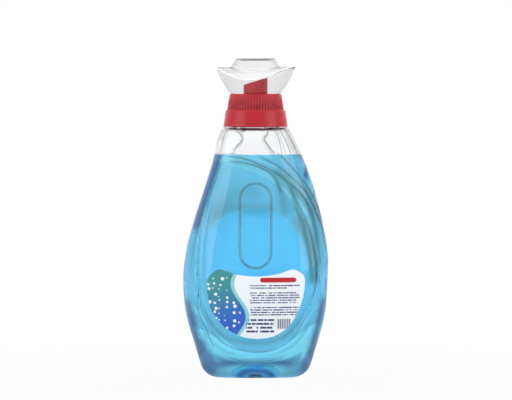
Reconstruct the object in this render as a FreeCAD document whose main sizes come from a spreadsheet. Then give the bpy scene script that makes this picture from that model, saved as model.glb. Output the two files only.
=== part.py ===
"""Laundry detergent bottle: a clear blown bottle with a dosing ball for a cap.

Frame: millimetres, +Z up, origin at the middle of the foot, on the ground.
The neck stands on the Z axis, X is the bottle's width and -Y is its back.
"""

import FreeCAD, Part
import math
import os
import re

import Sketcher
from FreeCAD import Placement, Rotation, Vector

doc = FreeCAD.newDocument("detergent_bottle")

# ---------------------------------------------------------------- sizes, mm
# The body is a stack of levels. Each has a rise above the level below it, a
# reach to the left and right of the neck axis, and half its depth.
LEVELS = ("foot", "ankle", "hip", "belly", "ribs", "chest", "shoulder", "collar", "nape", "brim")

BODY_SIZES = {
    "foot_left": 44.4,
    "foot_right": 44.4,
    "foot_depth": 29.5,
    "ankle_rise": 26.0,
    "ankle_left": 52.3,
    "ankle_right": 52.8,
    "ankle_depth": 33.1,
    "hip_rise": 26.5,
    "hip_left": 60.0,
    "hip_right": 60.0,
    "hip_depth": 36.2,
    "belly_rise": 29.5,
    "belly_left": 63.0,
    "belly_right": 62.6,
    "belly_depth": 37.8,
    "ribs_rise": 28.0,
    "ribs_left": 60.4,
    "ribs_right": 62.7,
    "ribs_depth": 37.3,
    "chest_rise": 28.0,
    "chest_left": 53.0,
    "chest_right": 57.6,
    "chest_depth": 35.4,
    "shoulder_rise": 27.0,
    "shoulder_left": 44.2,
    "shoulder_right": 50.7,
    "shoulder_depth": 32.0,
    "collar_rise": 26.7,
    "collar_left": 36.2,
    "collar_right": 40.6,
    "collar_depth": 28.2,
    "nape_rise": 14.3,
    "nape_left": 33.2,
    "nape_right": 34.0,
    "nape_depth": 26.2,
    "brim_rise": 10.5,
    "brim_left": 28.6,
    "brim_right": 28.8,
    "brim_depth": 25.2,
    "foot_round": 10.0,
    "brim_round": 2.0,
    "bottle_wall": 0.9,
}

# The squareness is the power of the superellipse that each section follows.
PANEL_SIZES = {
    "foot_squareness": 2.7,
    "brim_squareness": 2.1,
    "panel_squareness": 2.2,
    "panel_left_margin": 13.2,
    "panel_right_margin": 9.8,
    "panel_foot_margin": 24.5,
    "panel_brim_margin": 24.8,
    "panel_band_width": 5.0,
    "panel_band_drop": 1.2,
    "panel_floor_drop": 2.8,
    "grip_bead_width": 1.2,
    "grip_bead_height": 0.6,
    "grip_loop_width": 27.0,
    "grip_loop_length": 72.6,
    "grip_loop_base": 95.8,
    "push_up_height": 10.0,
    "push_up_reach": 29.0,
    "push_up_depth": 15.5,
}

FILL_SIZES = {
    "headspace": 23.4,
    "fill_clearance": 0.1,
    "label_thickness": 0.2,
    "label_glue": 0.15,
    "back_label_centre": 0.5,
    "back_label_reach": 41.9,
    "back_label_base": 35.0,
    "back_label_length": 59.2,
    "front_label_centre": 1.5,
    "front_label_reach": 42.0,
    "front_label_base": 31.0,
    "front_label_length": 112.0,
}

NECK_SIZES = {
    "neck_radius": 20.5,
    "neck_wall": 1.5,
    "neck_rise": 20.0,
    "neck_ring_reach": 3.0,
    "neck_ring_gap": 1.0,
    "neck_ring_thickness": 1.5,
    "thread_lead": 6.0,
    "thread_turns": 1.25,
    "thread_depth": 1.4,
    "thread_root_width": 2.0,
    "thread_crest_width": 1.0,
    "neck_thread_rise": 8.5,
    "thread_clearance": 0.4,
    "thread_sink": 0.3,
    "thread_start_turn": 20.0,
}

SPOUT_SIZES = {
    "plug_clearance": 0.1,
    "plug_wall": 1.2,
    "plug_length": 10.0,
    "well_floor": 1.5,
    "flange_reach": 1.2,
    "flange_thickness": 1.5,
    "spout_radius": 10.5,
    "spout_wall": 1.2,
    "spout_low_lip": 17.1,
    "spout_high_lip": 23.3,
    "drain_radius": 1.5,
}

CLOSURE_SIZES = {
    "skirt_gap": 0.5,
    "skirt_radius": 28.0,
    "skirt_height": 14.4,
    "skirt_slope": 2.25,
    "skirt_wall": 1.4,
    "step_reach": 0.65,
    "step_height": 0.5,
    "grip_band_radius": 24.6,
    "grip_band_slope": 2.3,
    "grip_band_height": 13.5,
    "thread_wall": 1.2,
    "thread_wall_gap": 0.8,
    "double_wall_height": 10.4,
    "retainer_reach": 0.8,
    "retainer_height": 0.7,
    "retainer_gap": 0.2,
    "retainer_lead_in": 0.7,
    "flange_clearance": 0.3,
    "deck_gap": 0.2,
    "deck_thickness": 1.4,
    "deck_hole_radius": 15.0,
    "collar_wall": 1.1,
    "grooves": 60,
    "groove_radius": 0.9,
    "groove_foot_depth": 0.55,
    "groove_head_depth": 0.12,
}

BALL_SIZES = {
    "ball_wall": 1.2,
    "ball_neck_clearance": 0.3,
    "ball_seat_gap": 0.3,
    "ball_mouth_radius": 21.4,
    "ball_cheek_rise": 10.0,
    "ball_cheek_radius": 28.2,
    "ball_wing_rise": 14.0,
    "ball_wing_radius": 34.6,
    "ball_crown_rise": 7.0,
    "ball_crown_radius": 37.3,
    "ball_saddle_rise": 23.8,
    "ball_saddle_reach": 29.8,
    "ball_saddle_height": 14.9,
    "ball_saddle_twist": -11.5,
    "ball_boss_radius": 17.0,
    "ball_boss_slope": 5.8,
    "ball_boss_rise": 7.4,
    "ball_boss_root": 8.0,
}

SIZES = BODY_SIZES | PANEL_SIZES | FILL_SIZES | NECK_SIZES | SPOUT_SIZES | CLOSURE_SIZES | BALL_SIZES

sheet = doc.addObject("Spreadsheet::Sheet", "sizes")
for row, (name, number) in enumerate(SIZES.items(), start=1):
    sheet.set(f"A{row}", name)
    sheet.set(f"B{row}", str(number))
    sheet.setAlias(f"B{row}", name)
doc.recompute()


def cell(name):
    """Number in one named cell of the sheet."""
    return float(sheet.get(name))


def formula(text):
    """An expression for setExpression, with every size name bound to its cell."""
    return re.sub(r"[a-z_]+", lambda word: f"<<sizes>>.{word[0]}" if word[0] in SIZES else word[0], text)


def value(text):
    """Number that such an expression gives now."""
    result = sheet.evalExpression(formula(text))
    return float(getattr(result, "Value", result))


def bind(thing, **expressions):
    """Bind properties of a document object to expressions of sizes."""
    for prop, text in expressions.items():
        thing.setExpression(prop, formula(text))
    return thing


def place(thing, across="0", back="0", up="0"):
    """Bind the place of an object's own origin."""
    thing.setExpression("Placement.Base.x", formula(across))
    thing.setExpression("Placement.Base.y", formula(back))
    thing.setExpression("Placement.Base.z", formula(up))
    return thing


# ------------------------------------------------------- heights above ground
BRIM = " + ".join(f"{level}_rise" for level in LEVELS[1:])
LAND = f"{BRIM} + neck_rise"
FILL_LINE = f"{BRIM} - headspace"
PLUG_FOOT = f"{LAND} - plug_length"
WELL_TOP = f"{PLUG_FOOT} + well_floor"
FLANGE_TOP = f"{LAND} + flange_thickness"
DECK_FOOT = f"{FLANGE_TOP} + deck_gap"
DECK_TOP = f"{DECK_FOOT} + deck_thickness"
SKIRT_FOOT = f"{BRIM} + skirt_gap"
SKIRT_TOP = f"{SKIRT_FOOT} + skirt_height"
GRIP_FOOT = f"{SKIRT_TOP} + step_height"
GRIP_TOP = f"{GRIP_FOOT} + grip_band_height"
RING_FOOT = f"{BRIM} + neck_ring_gap"
RING_TOP = f"{RING_FOOT} + neck_ring_thickness"
THREAD_WALL_FOOT = f"{RING_TOP} + thread_wall_gap"
NECK_THREAD_FOOT = f"{BRIM} + neck_thread_rise"
CLOSURE_THREAD_FOOT = f"{NECK_THREAD_FOOT} - thread_lead / 2"
DOUBLE_WALL_TOP = f"{THREAD_WALL_FOOT} + double_wall_height"
RETAINER_TOP = f"{LAND} - retainer_gap"
RETAINER_FOOT = f"{RETAINER_TOP} - retainer_height"
BALL_FOOT = f"{DECK_TOP} + ball_seat_gap"

# ------------------------------------------------------------------- radii
NECK_BORE = "neck_radius - neck_wall"
PLUG_RADIUS = f"{NECK_BORE} - plug_clearance"
FLANGE_RADIUS = "neck_radius + flange_reach"
FLANGE_BORE = f"{FLANGE_RADIUS} + flange_clearance"
THREAD_BORE = "neck_radius + thread_depth + thread_clearance"
GRIP_HEAD = "grip_band_radius - grip_band_slope"
COLLAR_BORE = f"{GRIP_HEAD} - collar_wall"
BALL_NECK = f"{COLLAR_BORE} - ball_neck_clearance"


# ------------------------------------------------------------ sketch helpers
def origin_plane(body, role):
    """One of a body's own origin planes, by its role."""
    return next(plane for plane in body.Origin.OriginFeatures if plane.Role == role)


def new_sketch(body, name, role):
    """Empty sketch on one of the body's origin planes."""
    sketch = body.newObject("Sketcher::SketchObject", name)
    sketch.AttachmentSupport = [(origin_plane(body, role), "")]
    sketch.MapMode = "FlatFace"
    return sketch


def pin(sketch, geometry, point, across, up):
    """Hold one point of a sketch at a place given by two expressions."""
    for kind, text in (("DistanceX", across), ("DistanceY", up)):
        link = Sketcher.Constraint(kind, -1, 1, geometry, point, value(text))
        number = sketch.addConstraint(link)
        sketch.setExpression(f"Constraints[{number}]", formula(text))


def polygon(sketch, corners):
    """Closed outline with each corner pinned to its two expressions."""
    points = [Vector(value(across), value(up), 0) for across, up in corners]
    count = len(points)
    for number, start in enumerate(points):
        sketch.addGeometry(Part.LineSegment(start, points[(number + 1) % count]))
    for number in range(count):
        sketch.addConstraint(Sketcher.Constraint("Coincident", number, 2, (number + 1) % count, 1))
    for number, (across, up) in enumerate(corners):
        pin(sketch, number, 1, across, up)
    return sketch


def turned_body(name, corners):
    """Body with one revolved profile of (radius, height) corners."""
    body = doc.addObject("PartDesign::Body", name)
    sketch = polygon(new_sketch(body, f"{name}_profile", "XZ_Plane"), corners)
    turned = body.newObject("PartDesign::Revolution", f"{name}_turned")
    turned.Profile = sketch
    turned.ReferenceAxis = (sketch, ["V_Axis"])
    turned.Angle = 360
    return body


def cylinder(name, radius, height, foot):
    """Upright cylinder on the neck axis."""
    thing = bind(doc.addObject("Part::Cylinder", name), Radius=radius, Height=height)
    return place(thing, up=foot)


def combined(kind, name, shapes):
    """Boolean of two shapes, or of a list of them."""
    thing = doc.addObject(f"Part::{kind}", name)
    if kind in ("MultiFuse", "MultiCommon"):
        thing.Shapes = shapes
    else:
        thing.Base, thing.Tool = shapes
    return thing


def feature(name, shape):
    """Object that holds a shape made by this file's own functions."""
    thing = doc.addObject("Part::Feature", name)
    thing.Shape = shape
    return thing


# ------------------------------------------------------------- body surfaces
SECTION_POINTS = 24
# How far a cutting form runs past what it cuts, in mm, and how many times the
# reach of the part a box or a prism across it spans.
OVERRUN = 3.0
SPAN = 4


def section(height, left, right, depth, squareness):
    """Superellipse across the bottle, wider on one side than on the other."""
    points = []
    for step in range(SECTION_POINTS):
        turn = math.tau * step / SECTION_POINTS
        across = math.copysign(abs(math.cos(turn)) ** (2 / squareness), math.cos(turn))
        back = math.copysign(abs(math.sin(turn)) ** (2 / squareness), math.sin(turn))
        reach = right if across > 0 else left
        points.append(Vector(reach * across, depth * back, height))
    return closed_curve(points)


def closed_curve(points):
    """Smooth closed wire through points."""
    curve = Part.BSplineCurve()
    curve.interpolate(points, PeriodicFlag=True)
    return Part.Wire([curve.toShape()])


def body_form(inset, drop=0.0, squareness=None, overrun=0.0):
    """Solid between the body's levels.

    It lies the inset inside the outer skin, and its front and back lie the
    drop deeper still. The overrun lengthens it past both ends.
    """
    wires = []
    height = 0.0
    for level in LEVELS:
        height += 0.0 if level == LEVELS[0] else cell(f"{level}_rise")
        end = {LEVELS[0]: inset - overrun, LEVELS[-1]: overrun - inset}.get(level, 0.0)
        share = height / value(BRIM)
        power = cell("foot_squareness") + share * (cell("brim_squareness") - cell("foot_squareness"))
        wires.append(
            section(
                height + end,
                cell(f"{level}_left") - inset,
                cell(f"{level}_right") - inset,
                cell(f"{level}_depth") - inset - drop,
                squareness or power,
            )
        )
    return Part.makeLoft(wires, True, False)


# The sunk panel is a leaning drop with its tip at the upper left. Its points
# are shares of the panel's own box: across from the left, up from the foot.
PANEL_OUTLINE = (
    (0.21, 0.99),
    (0.46, 0.97),
    (0.72, 0.88),
    (0.87, 0.76),
    (0.97, 0.56),
    (1.00, 0.40),
    (0.93, 0.22),
    (0.74, 0.06),
    (0.50, 0.00),
    (0.21, 0.07),
    (0.05, 0.20),
    (0.00, 0.43),
    (0.04, 0.68),
    (0.12, 0.87),
)


def panel_wire(grow):
    """Panel outline in the XZ plane, moved outwards by a distance."""
    left = cell("panel_left_margin") - cell("belly_left")
    right = cell("belly_right") - cell("panel_right_margin")
    foot = cell("panel_foot_margin")
    head = value(f"{BRIM} - panel_brim_margin")
    corners = [Vector(left + (right - left) * x, 0, foot + (head - foot) * z) for x, z in PANEL_OUTLINE]
    curve = closed_curve(corners).Edges[0].Curve
    moved = []
    for corner in corners:
        along = curve.tangent(curve.parameter(corner))[0]
        moved.append(corner + Vector(-along.z, 0, along.x) * grow)
    return closed_curve(moved)


def through_prism(wire, back=True, front=True):
    """Solid that carries an outline in the XZ plane out past the skin."""
    reach = SPAN * cell("belly_depth") / 2
    low = -reach if back else 0.0
    high = reach if front else 0.0
    face = Part.Face(wire)
    face.translate(Vector(0, low, 0))
    return face.extrude(Vector(0, high - low, 0))


def core_form(drop, inset=0.0):
    """Body form that the panel is sunk to."""
    return body_form(inset, drop, cell("panel_squareness"), OVERRUN)


def skin(inset):
    """Whole body at a depth below the outer skin, with its rounds and panels."""
    solid = body_form(inset)
    foot_edges = [edge for edge in solid.Edges if edge.BoundBox.ZMax < cell("foot_round")]
    solid = solid.makeFillet(cell("foot_round") - inset, foot_edges)
    brim_edges = [edge for edge in solid.Edges if edge.BoundBox.ZMin > value(BRIM) - cell("brim_round")]
    solid = solid.makeFillet(max(cell("brim_round") - inset, inset), brim_edges)
    terraces = (
        (inset, cell("panel_band_drop")),
        (inset - cell("panel_band_width"), cell("panel_floor_drop")),
    )
    for grow, drop in terraces:
        solid = solid.cut(through_prism(panel_wire(grow)).cut(core_form(drop, inset)))
    return solid


def on_panel(wire, back, height, gap=0.0):
    """Layer over the panel's floor inside an outline, on one side."""
    floor = core_form(cell("panel_floor_drop") - gap)
    top = core_form(cell("panel_floor_drop") - gap - height)
    return through_prism(wire, back, not back).common(top).cut(floor)


# -------------------------------------------------------------------- bottle
def helix_ridge(name, root, crest, foot):
    """Thread of one start, wound on the neck axis from a foot height."""
    spine = bind(
        doc.addObject("Part::Helix", f"{name}_path"),
        Radius=root,
        Pitch="thread_lead",
        Height="thread_lead * thread_turns",
    )
    place(spine, up=foot)
    body = doc.addObject("PartDesign::Body", f"{name}_section")
    wide, narrow = "thread_root_width / 2", "thread_crest_width / 2"
    corners = (
        (root, f"{foot} - {wide}"),
        (crest, f"{foot} - {narrow}"),
        (crest, f"{foot} + {narrow}"),
        (root, f"{foot} + {wide}"),
    )
    sketch = polygon(new_sketch(body, f"{name}_outline", "XZ_Plane"), corners)
    ridge = doc.addObject("Part::Sweep", name)
    ridge.Sections = [sketch]
    ridge.Spine = (spine, ["Edge1"])
    ridge.Solid = True
    ridge.Frenet = True
    ridge.Placement = Placement(Vector(0, 0, 0), Rotation(Vector(0, 0, 1), cell("thread_start_turn")))
    return ridge


def grip_loop():
    """Raised bead round a long loop on the back panel."""
    half = cell("grip_loop_width") / 2
    low = cell("grip_loop_base") + half
    high = cell("grip_loop_base") + cell("grip_loop_length") - half
    rings = []
    for radius in (half, half - cell("grip_bead_width")):
        left, right = Vector(-radius, 0, 0), Vector(radius, 0, 0)
        up, down = Vector(0, 0, low), Vector(0, 0, high)
        arch = Part.Arc(right + down, Vector(0, 0, high + radius), left + down).toShape()
        sag = Part.Arc(left + up, Vector(0, 0, low - radius), right + up).toShape()
        sides = [Part.makeLine(left + down, left + up), Part.makeLine(right + up, right + down)]
        rings.append(Part.Wire([arch, sides[0], sag, sides[1]]))
    return on_panel(rings[0], True, cell("grip_bead_height")).cut(through_prism(rings[1]))


def make_push_up(name, inset):
    """Dome under the foot, at a depth inside the outer skin."""
    dome = bind(
        doc.addObject("Part::Ellipsoid", name),
        Radius1=f"push_up_height + {inset}",
        Radius2=f"push_up_reach + {inset}",
        Radius3=f"push_up_depth + {inset}",
    )
    return dome


def make_bottle():
    """Blown shell with its panels, grip loop, neck ring and thread."""
    shell = combined("Cut", "outer_body", (feature("outer_skin", skin(0.0)), make_push_up("push_up", "0")))
    hollow = combined(
        "Cut",
        "inner_body",
        (feature("inner_skin", skin(cell("bottle_wall"))), make_push_up("push_up_inside", "bottle_wall")),
    )
    neck = cylinder("neck_tube", "neck_radius", "neck_rise + bottle_wall", f"{BRIM} - bottle_wall")
    ring = cylinder("neck_ring", "neck_radius + neck_ring_reach", "neck_ring_thickness", RING_FOOT)
    bore = cylinder("neck_bore", NECK_BORE, "neck_rise + brim_rise + nape_rise", f"{BRIM} - brim_rise")
    root, crest = "neck_radius - thread_sink", "neck_radius + thread_depth"
    thread = helix_ridge("neck_thread", root, crest, NECK_THREAD_FOOT)
    loop = feature("grip_bead", grip_loop())
    outside = combined("MultiFuse", "outside", [shell, neck, ring, thread, loop])
    inside = combined("MultiFuse", "inside", [hollow, bore])
    return combined("Cut", "bottle", (outside, inside))


def make_detergent():
    """Liquid that fills the bottle up to the fill line."""
    inset = cell("bottle_wall") + cell("fill_clearance")
    bath = feature("filled_skin", skin(inset))
    dome = make_push_up("push_up_liquid", "bottle_wall + fill_clearance")
    level = bind(
        doc.addObject("Part::Box", "filled_height"),
        Length=f"{SPAN} * belly_right",
        Width=f"{SPAN} * belly_depth",
        Height=FILL_LINE,
    )
    place(level, across=f"-{SPAN} * belly_right / 2", back=f"-{SPAN} * belly_depth / 2")
    filled = combined("Common", "filled_body", (bath, level))
    return combined("Cut", "detergent", (filled, dome))


# ---------------------------------------------------------------- the labels
# Outlines as shares of each label's reach to one side and of its length.
BACK_LABEL_OUTLINE = (
    (-0.80, 1.00),
    (-0.40, 0.935),
    (0.00, 0.905),
    (0.45, 0.94),
    (0.80, 1.00),
    (0.97, 0.92),
    (0.985, 0.69),
    (0.88, 0.43),
    (0.67, 0.18),
    (0.38, 0.04),
    (0.05, 0.00),
    (-0.30, 0.03),
    (-0.62, 0.15),
    (-0.87, 0.35),
    (-1.00, 0.64),
    (-0.97, 0.90),
)
FRONT_LABEL_OUTLINE = (
    (-1.00, 0.45),
    (-0.80, 0.86),
    (-0.25, 1.00),
    (0.35, 0.97),
    (0.80, 0.75),
    (1.00, 0.45),
    (0.70, 0.15),
    (0.00, 0.00),
    (-0.70, 0.15),
)


def make_label(side, outline):
    """Film label on the floor of the panel, on one side of the bottle."""
    centre, reach = cell(f"{side}_label_centre"), cell(f"{side}_label_reach")
    base, length = cell(f"{side}_label_base"), cell(f"{side}_label_length")
    wire = closed_curve([Vector(centre + reach * x, 0, base + length * z) for x, z in outline])
    film = on_panel(wire, side == "back", cell("label_thickness"), cell("label_glue"))
    return feature(f"{side}_label", film)


# --------------------------------------------------------------- pour spout
def make_pour_spout():
    """Plug for the neck, with a drain-back well round a slanted spout."""
    high_lip = f"{LAND} + spout_high_lip"
    low_lip = f"{LAND} + spout_low_lip"
    well_radius = f"{PLUG_RADIUS} - plug_wall"
    bore = "spout_radius - spout_wall"
    body = turned_body(
        "pour_spout",
        (
            (bore, PLUG_FOOT),
            (PLUG_RADIUS, PLUG_FOOT),
            (PLUG_RADIUS, LAND),
            (FLANGE_RADIUS, LAND),
            (FLANGE_RADIUS, FLANGE_TOP),
            (well_radius, FLANGE_TOP),
            (well_radius, WELL_TOP),
            ("spout_radius", f"{WELL_TOP} + well_floor"),
            ("spout_radius", high_lip),
            (bore, high_lip),
        ),
    )
    slant = body.newObject("PartDesign::Pocket", "slanted_lip")
    slant.Profile = polygon(
        new_sketch(body, "lip_outline", "XZ_Plane"),
        (
            ("-spout_radius", low_lip),
            ("spout_radius", high_lip),
            ("spout_radius", f"{high_lip} + spout_radius"),
            ("-spout_radius", f"{high_lip} + spout_radius"),
        ),
    )
    slant.Midplane = True
    slant.Type = "Length"
    bind(slant, Length=f"{SPAN} * spout_radius")
    drain = body.newObject("PartDesign::Pocket", "drain_hole")
    drain_sketch = new_sketch(body, "drain_outline", "XY_Plane")
    drain_place = f"-(spout_radius + {well_radius}) / 2"
    hole = Part.Circle(Vector(value(drain_place), 0, 0), Vector(0, 0, 1), cell("drain_radius"))
    drain_sketch.addGeometry(hole)
    size = drain_sketch.addConstraint(Sketcher.Constraint("Radius", 0, cell("drain_radius")))
    drain_sketch.setExpression(f"Constraints[{size}]", formula("drain_radius"))
    aside = drain_sketch.addConstraint(Sketcher.Constraint("DistanceX", -1, 1, 0, 3, value(drain_place)))
    drain_sketch.setExpression(f"Constraints[{aside}]", formula(drain_place))
    drain_sketch.addConstraint(Sketcher.Constraint("PointOnObject", 0, 3, -1))
    drain.Profile = drain_sketch
    drain.Reversed = True
    drain.Type = "Length"
    bind(drain, Length=FLANGE_TOP)
    return body


# ------------------------------------------------------------------ closure
def make_closure():
    """Screw collar with a plain skirt, a ribbed band and a deck inside."""
    skirt_head = "skirt_radius - skirt_slope"
    double_wall_rise = f"{DOUBLE_WALL_TOP} - ({SKIRT_FOOT})"
    double_wall_radius = f"skirt_radius - skirt_wall - skirt_slope * ({double_wall_rise}) / skirt_height"
    retainer = f"{FLANGE_BORE} - retainer_reach"
    body = turned_body(
        "closure_collar",
        (
            ("skirt_radius - skirt_wall", SKIRT_FOOT),
            ("skirt_radius", SKIRT_FOOT),
            (skirt_head, SKIRT_TOP),
            (f"{skirt_head} - step_reach", GRIP_FOOT),
            ("grip_band_radius", GRIP_FOOT),
            (GRIP_HEAD, GRIP_TOP),
            (COLLAR_BORE, GRIP_TOP),
            (COLLAR_BORE, DECK_TOP),
            ("deck_hole_radius", DECK_TOP),
            ("deck_hole_radius", DECK_FOOT),
            (FLANGE_BORE, DECK_FOOT),
            (FLANGE_BORE, RETAINER_TOP),
            (retainer, RETAINER_TOP),
            (retainer, RETAINER_FOOT),
            (THREAD_BORE, f"{RETAINER_FOOT} - retainer_lead_in"),
            (THREAD_BORE, THREAD_WALL_FOOT),
            (f"{THREAD_BORE} + thread_wall", THREAD_WALL_FOOT),
            (f"{THREAD_BORE} + thread_wall", DOUBLE_WALL_TOP),
            (double_wall_radius, DOUBLE_WALL_TOP),
        ),
    )
    # One groove is a round cutter that leans with the band and runs out of it
    # towards the top.
    foot_axis = "grip_band_radius + groove_radius - groove_foot_depth"
    head_axis = f"{GRIP_HEAD} + groove_radius - groove_head_depth"
    lean = f"atan(({foot_axis} - ({head_axis})) / grip_band_height)"
    sketch = new_sketch(body, "groove_outline", "XY_Plane")
    sketch.addGeometry(Part.Circle(Vector(0, 0, 0), Vector(0, 0, 1), cell("groove_radius")))
    size = sketch.addConstraint(Sketcher.Constraint("Radius", 0, cell("groove_radius")))
    sketch.setExpression(f"Constraints[{size}]", formula("groove_radius"))
    sketch.addConstraint(Sketcher.Constraint("Coincident", 0, 3, -1, 1))
    sketch.AttachmentOffset = Placement(Vector(0, 0, 0), Rotation(Vector(0, -1, 0), 1))
    sketch.setExpression("AttachmentOffset.Base.x", formula(foot_axis))
    sketch.setExpression("AttachmentOffset.Base.z", formula(GRIP_FOOT))
    sketch.setExpression("AttachmentOffset.Rotation.Angle", formula(lean))
    groove = body.newObject("PartDesign::Pocket", "groove")
    groove.Profile = sketch
    groove.Reversed = True
    groove.Type = "Length"
    bind(groove, Length=f"grip_band_height + {OVERRUN}")
    ring = body.newObject("PartDesign::PolarPattern", "groove_ring")
    ring.Originals = [groove]
    ring.Axis = (body.getObject("closure_collar_profile"), ["V_Axis"])
    ring.Angle = 360
    bind(ring, Occurrences="grooves")
    body.Tip = ring
    root, crest = f"{THREAD_BORE} + thread_sink", "neck_radius + thread_clearance"
    thread = helix_ridge("closure_thread", root, crest, CLOSURE_THREAD_FOOT)
    return combined("MultiFuse", "closure", [body, thread])


# -------------------------------------------------------------- dosing ball
# Turns X to Y, Y to Z and Z to X, so that an outline drawn flat stands up
# across the width and is carried along it.
ACROSS_TO_UP = Rotation(Vector(1, 1, 1), 120)


def ball_form(name, inset):
    """Bowl under a saddle, with a boss on top, at a depth inside the skin."""
    levels = (
        ("mouth", "0"),
        ("cheek", "ball_cheek_rise"),
        ("wing", "ball_cheek_rise + ball_wing_rise"),
        ("crown", "ball_cheek_rise + ball_wing_rise + ball_crown_rise"),
    )
    hoops = []
    for level, rise in levels:
        hoop = doc.addObject("Part::Circle", f"{name}_{level}")
        bind(hoop, Radius=f"ball_{level}_radius - {inset}")
        hoops.append(place(hoop, up=f"{GRIP_TOP} + {rise}"))
    bowl = doc.addObject("Part::Loft", f"{name}_bowl")
    bowl.Sections = hoops
    bowl.Solid = True
    bowl.Ruled = False
    arch = bind(
        doc.addObject("Part::Ellipse", f"{name}_arch"),
        MajorRadius=f"ball_saddle_reach - {inset}",
        MinorRadius=f"ball_saddle_height - {inset}",
    )
    twist = Rotation(Vector(0, 0, 1), cell("ball_saddle_twist"))
    springing = value(f"{GRIP_TOP} + ball_saddle_rise - ball_saddle_height")
    arch.Placement = Placement(Vector(0, 0, springing), twist * ACROSS_TO_UP)
    saddle = doc.addObject("Part::Extrusion", f"{name}_saddle")
    saddle.Base = arch
    saddle.Dir = twist.multVec(Vector(1, 0, 0))
    saddle.Symmetric = True
    saddle.Solid = True
    bind(saddle, LengthFwd=f"{SPAN} * ball_crown_radius")
    winged = combined("Common", f"{name}_winged", (bowl, saddle))
    boss = bind(
        doc.addObject("Part::Cone", f"{name}_boss"),
        Radius1=f"ball_boss_radius + ball_boss_slope - {inset}",
        Radius2=f"ball_boss_radius - {inset}",
        Height=f"ball_boss_root + ball_boss_rise",
    )
    place(boss, up=f"{GRIP_TOP} + ball_saddle_rise - ball_boss_root - {inset}")
    rise = f"{GRIP_TOP} - ({BALL_FOOT}) + {inset}"
    neck = cylinder(f"{name}_neck", f"{BALL_NECK} - {inset}", rise, BALL_FOOT)
    return combined("MultiFuse", f"{name}_form", [winged, boss, neck])


def make_dosing_ball():
    """Clear dosing ball that stands mouth down in the closure's collar."""
    outer = ball_form("ball_outer", "0")
    inner = ball_form("ball_inner", "ball_wall")
    return combined("Cut", "dosing_ball", (outer, inner))


# ------------------------------------------------------------------- output
NODES = (
    make_bottle(),
    make_detergent(),
    make_label("front", FRONT_LABEL_OUTLINE),
    make_label("back", BACK_LABEL_OUTLINE),
    make_pour_spout(),
    make_closure(),
    make_dosing_ball(),
)
doc.recompute()

for thing in doc.Objects:
    if "Invalid" in thing.State or "Error" in thing.State:
        raise RuntimeError(f"{thing.Name} did not build: {thing.State}")

os.makedirs("parts", exist_ok=True)
for node in NODES:
    if node.Shape.isNull() or not node.Shape.isValid():
        raise RuntimeError(f"{node.Label} has no valid shape")
    node.Shape.exportStep(f"parts/{node.Label}.step")
    box = node.Shape.optimalBoundingBox()
    print(f"{node.Label}: {node.Shape.Volume / 1000:.2f} cm3, {len(node.Shape.Solids)} solid, {box}")
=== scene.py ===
"""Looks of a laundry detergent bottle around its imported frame.

The pieces are given in millimetres in the frame's own axes: +Z up along the
neck, X along the width and -Y out of the back. Meshes and the studio are in metres.
"""

import logging
import math
from collections.abc import Sequence
from dataclasses import dataclass, field
from enum import Enum
from functools import partialmethod

import bmesh
import bpy
import numpy as np
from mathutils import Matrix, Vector

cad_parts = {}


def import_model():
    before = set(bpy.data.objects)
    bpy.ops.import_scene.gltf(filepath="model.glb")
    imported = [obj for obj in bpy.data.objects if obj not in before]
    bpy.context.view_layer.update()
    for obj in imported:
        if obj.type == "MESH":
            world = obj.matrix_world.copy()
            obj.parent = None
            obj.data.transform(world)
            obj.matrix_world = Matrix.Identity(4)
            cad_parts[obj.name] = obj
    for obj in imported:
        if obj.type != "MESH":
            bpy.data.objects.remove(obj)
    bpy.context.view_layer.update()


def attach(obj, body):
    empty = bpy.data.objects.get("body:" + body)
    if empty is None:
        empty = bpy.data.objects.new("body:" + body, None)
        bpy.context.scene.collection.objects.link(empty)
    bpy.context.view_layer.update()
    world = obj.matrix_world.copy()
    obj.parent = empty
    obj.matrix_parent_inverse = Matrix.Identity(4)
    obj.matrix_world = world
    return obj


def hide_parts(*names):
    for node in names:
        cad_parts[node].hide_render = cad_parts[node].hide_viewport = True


LOG = logging.getLogger("detergent_bottle")
MM = 0.001
TURN = 2 * math.pi
MERGE = 1e-7
WIDTH_OVER_DEPTH = 1.6

Array = np.ndarray
Socket = bpy.types.NodeSocket
Node = bpy.types.Node
Thing = bpy.types.Object
Pair = tuple[float, float]
Triple = tuple[float, float, float]
Size = Array | float
Inputs = dict[int | str, object]


# ------------------------------------------------------------------ curves
def smooth_through(stations: Sequence[float], values: Sequence[float], at: Array) -> Array:
    """Cubic curve through values, with slopes from each pair of neighbours.

    Args:
        stations: Rising positions of the values.
        values: One value per station.
        at: Where to read the curve.

    Returns:
        The curve's value at each place asked.
    """
    xs, ys = np.array(stations), np.array(values)
    slopes = np.gradient(ys, xs, edge_order=2)
    at = np.clip(at, xs[0], xs[-1])
    cell = np.clip(np.searchsorted(xs, at, side="right") - 1, 0, len(xs) - 2)
    step = xs[cell + 1] - xs[cell]
    share = (at - xs[cell]) / step
    square, cube = share**2, share**3
    return (
        (2 * cube - 3 * square + 1) * ys[cell]
        + (cube - 2 * square + share) * step * slopes[cell]
        + (3 * square - 2 * cube) * ys[cell + 1]
        + (cube - square) * step * slopes[cell + 1]
    )


def smooth_step(low: float, high: float, value: Size) -> Array:
    """Ramp from 0 at low to 1 at high with level ends."""
    share = np.clip((value - low) / (high - low), 0.0, 1.0)
    return share * share * (3 - 2 * share)


def way_along(line: Array) -> Array:
    """Distance from the start of a line to each of its points."""
    return np.concatenate([[0.0], np.cumsum(np.hypot(*np.diff(line, axis=0).T))])


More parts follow.
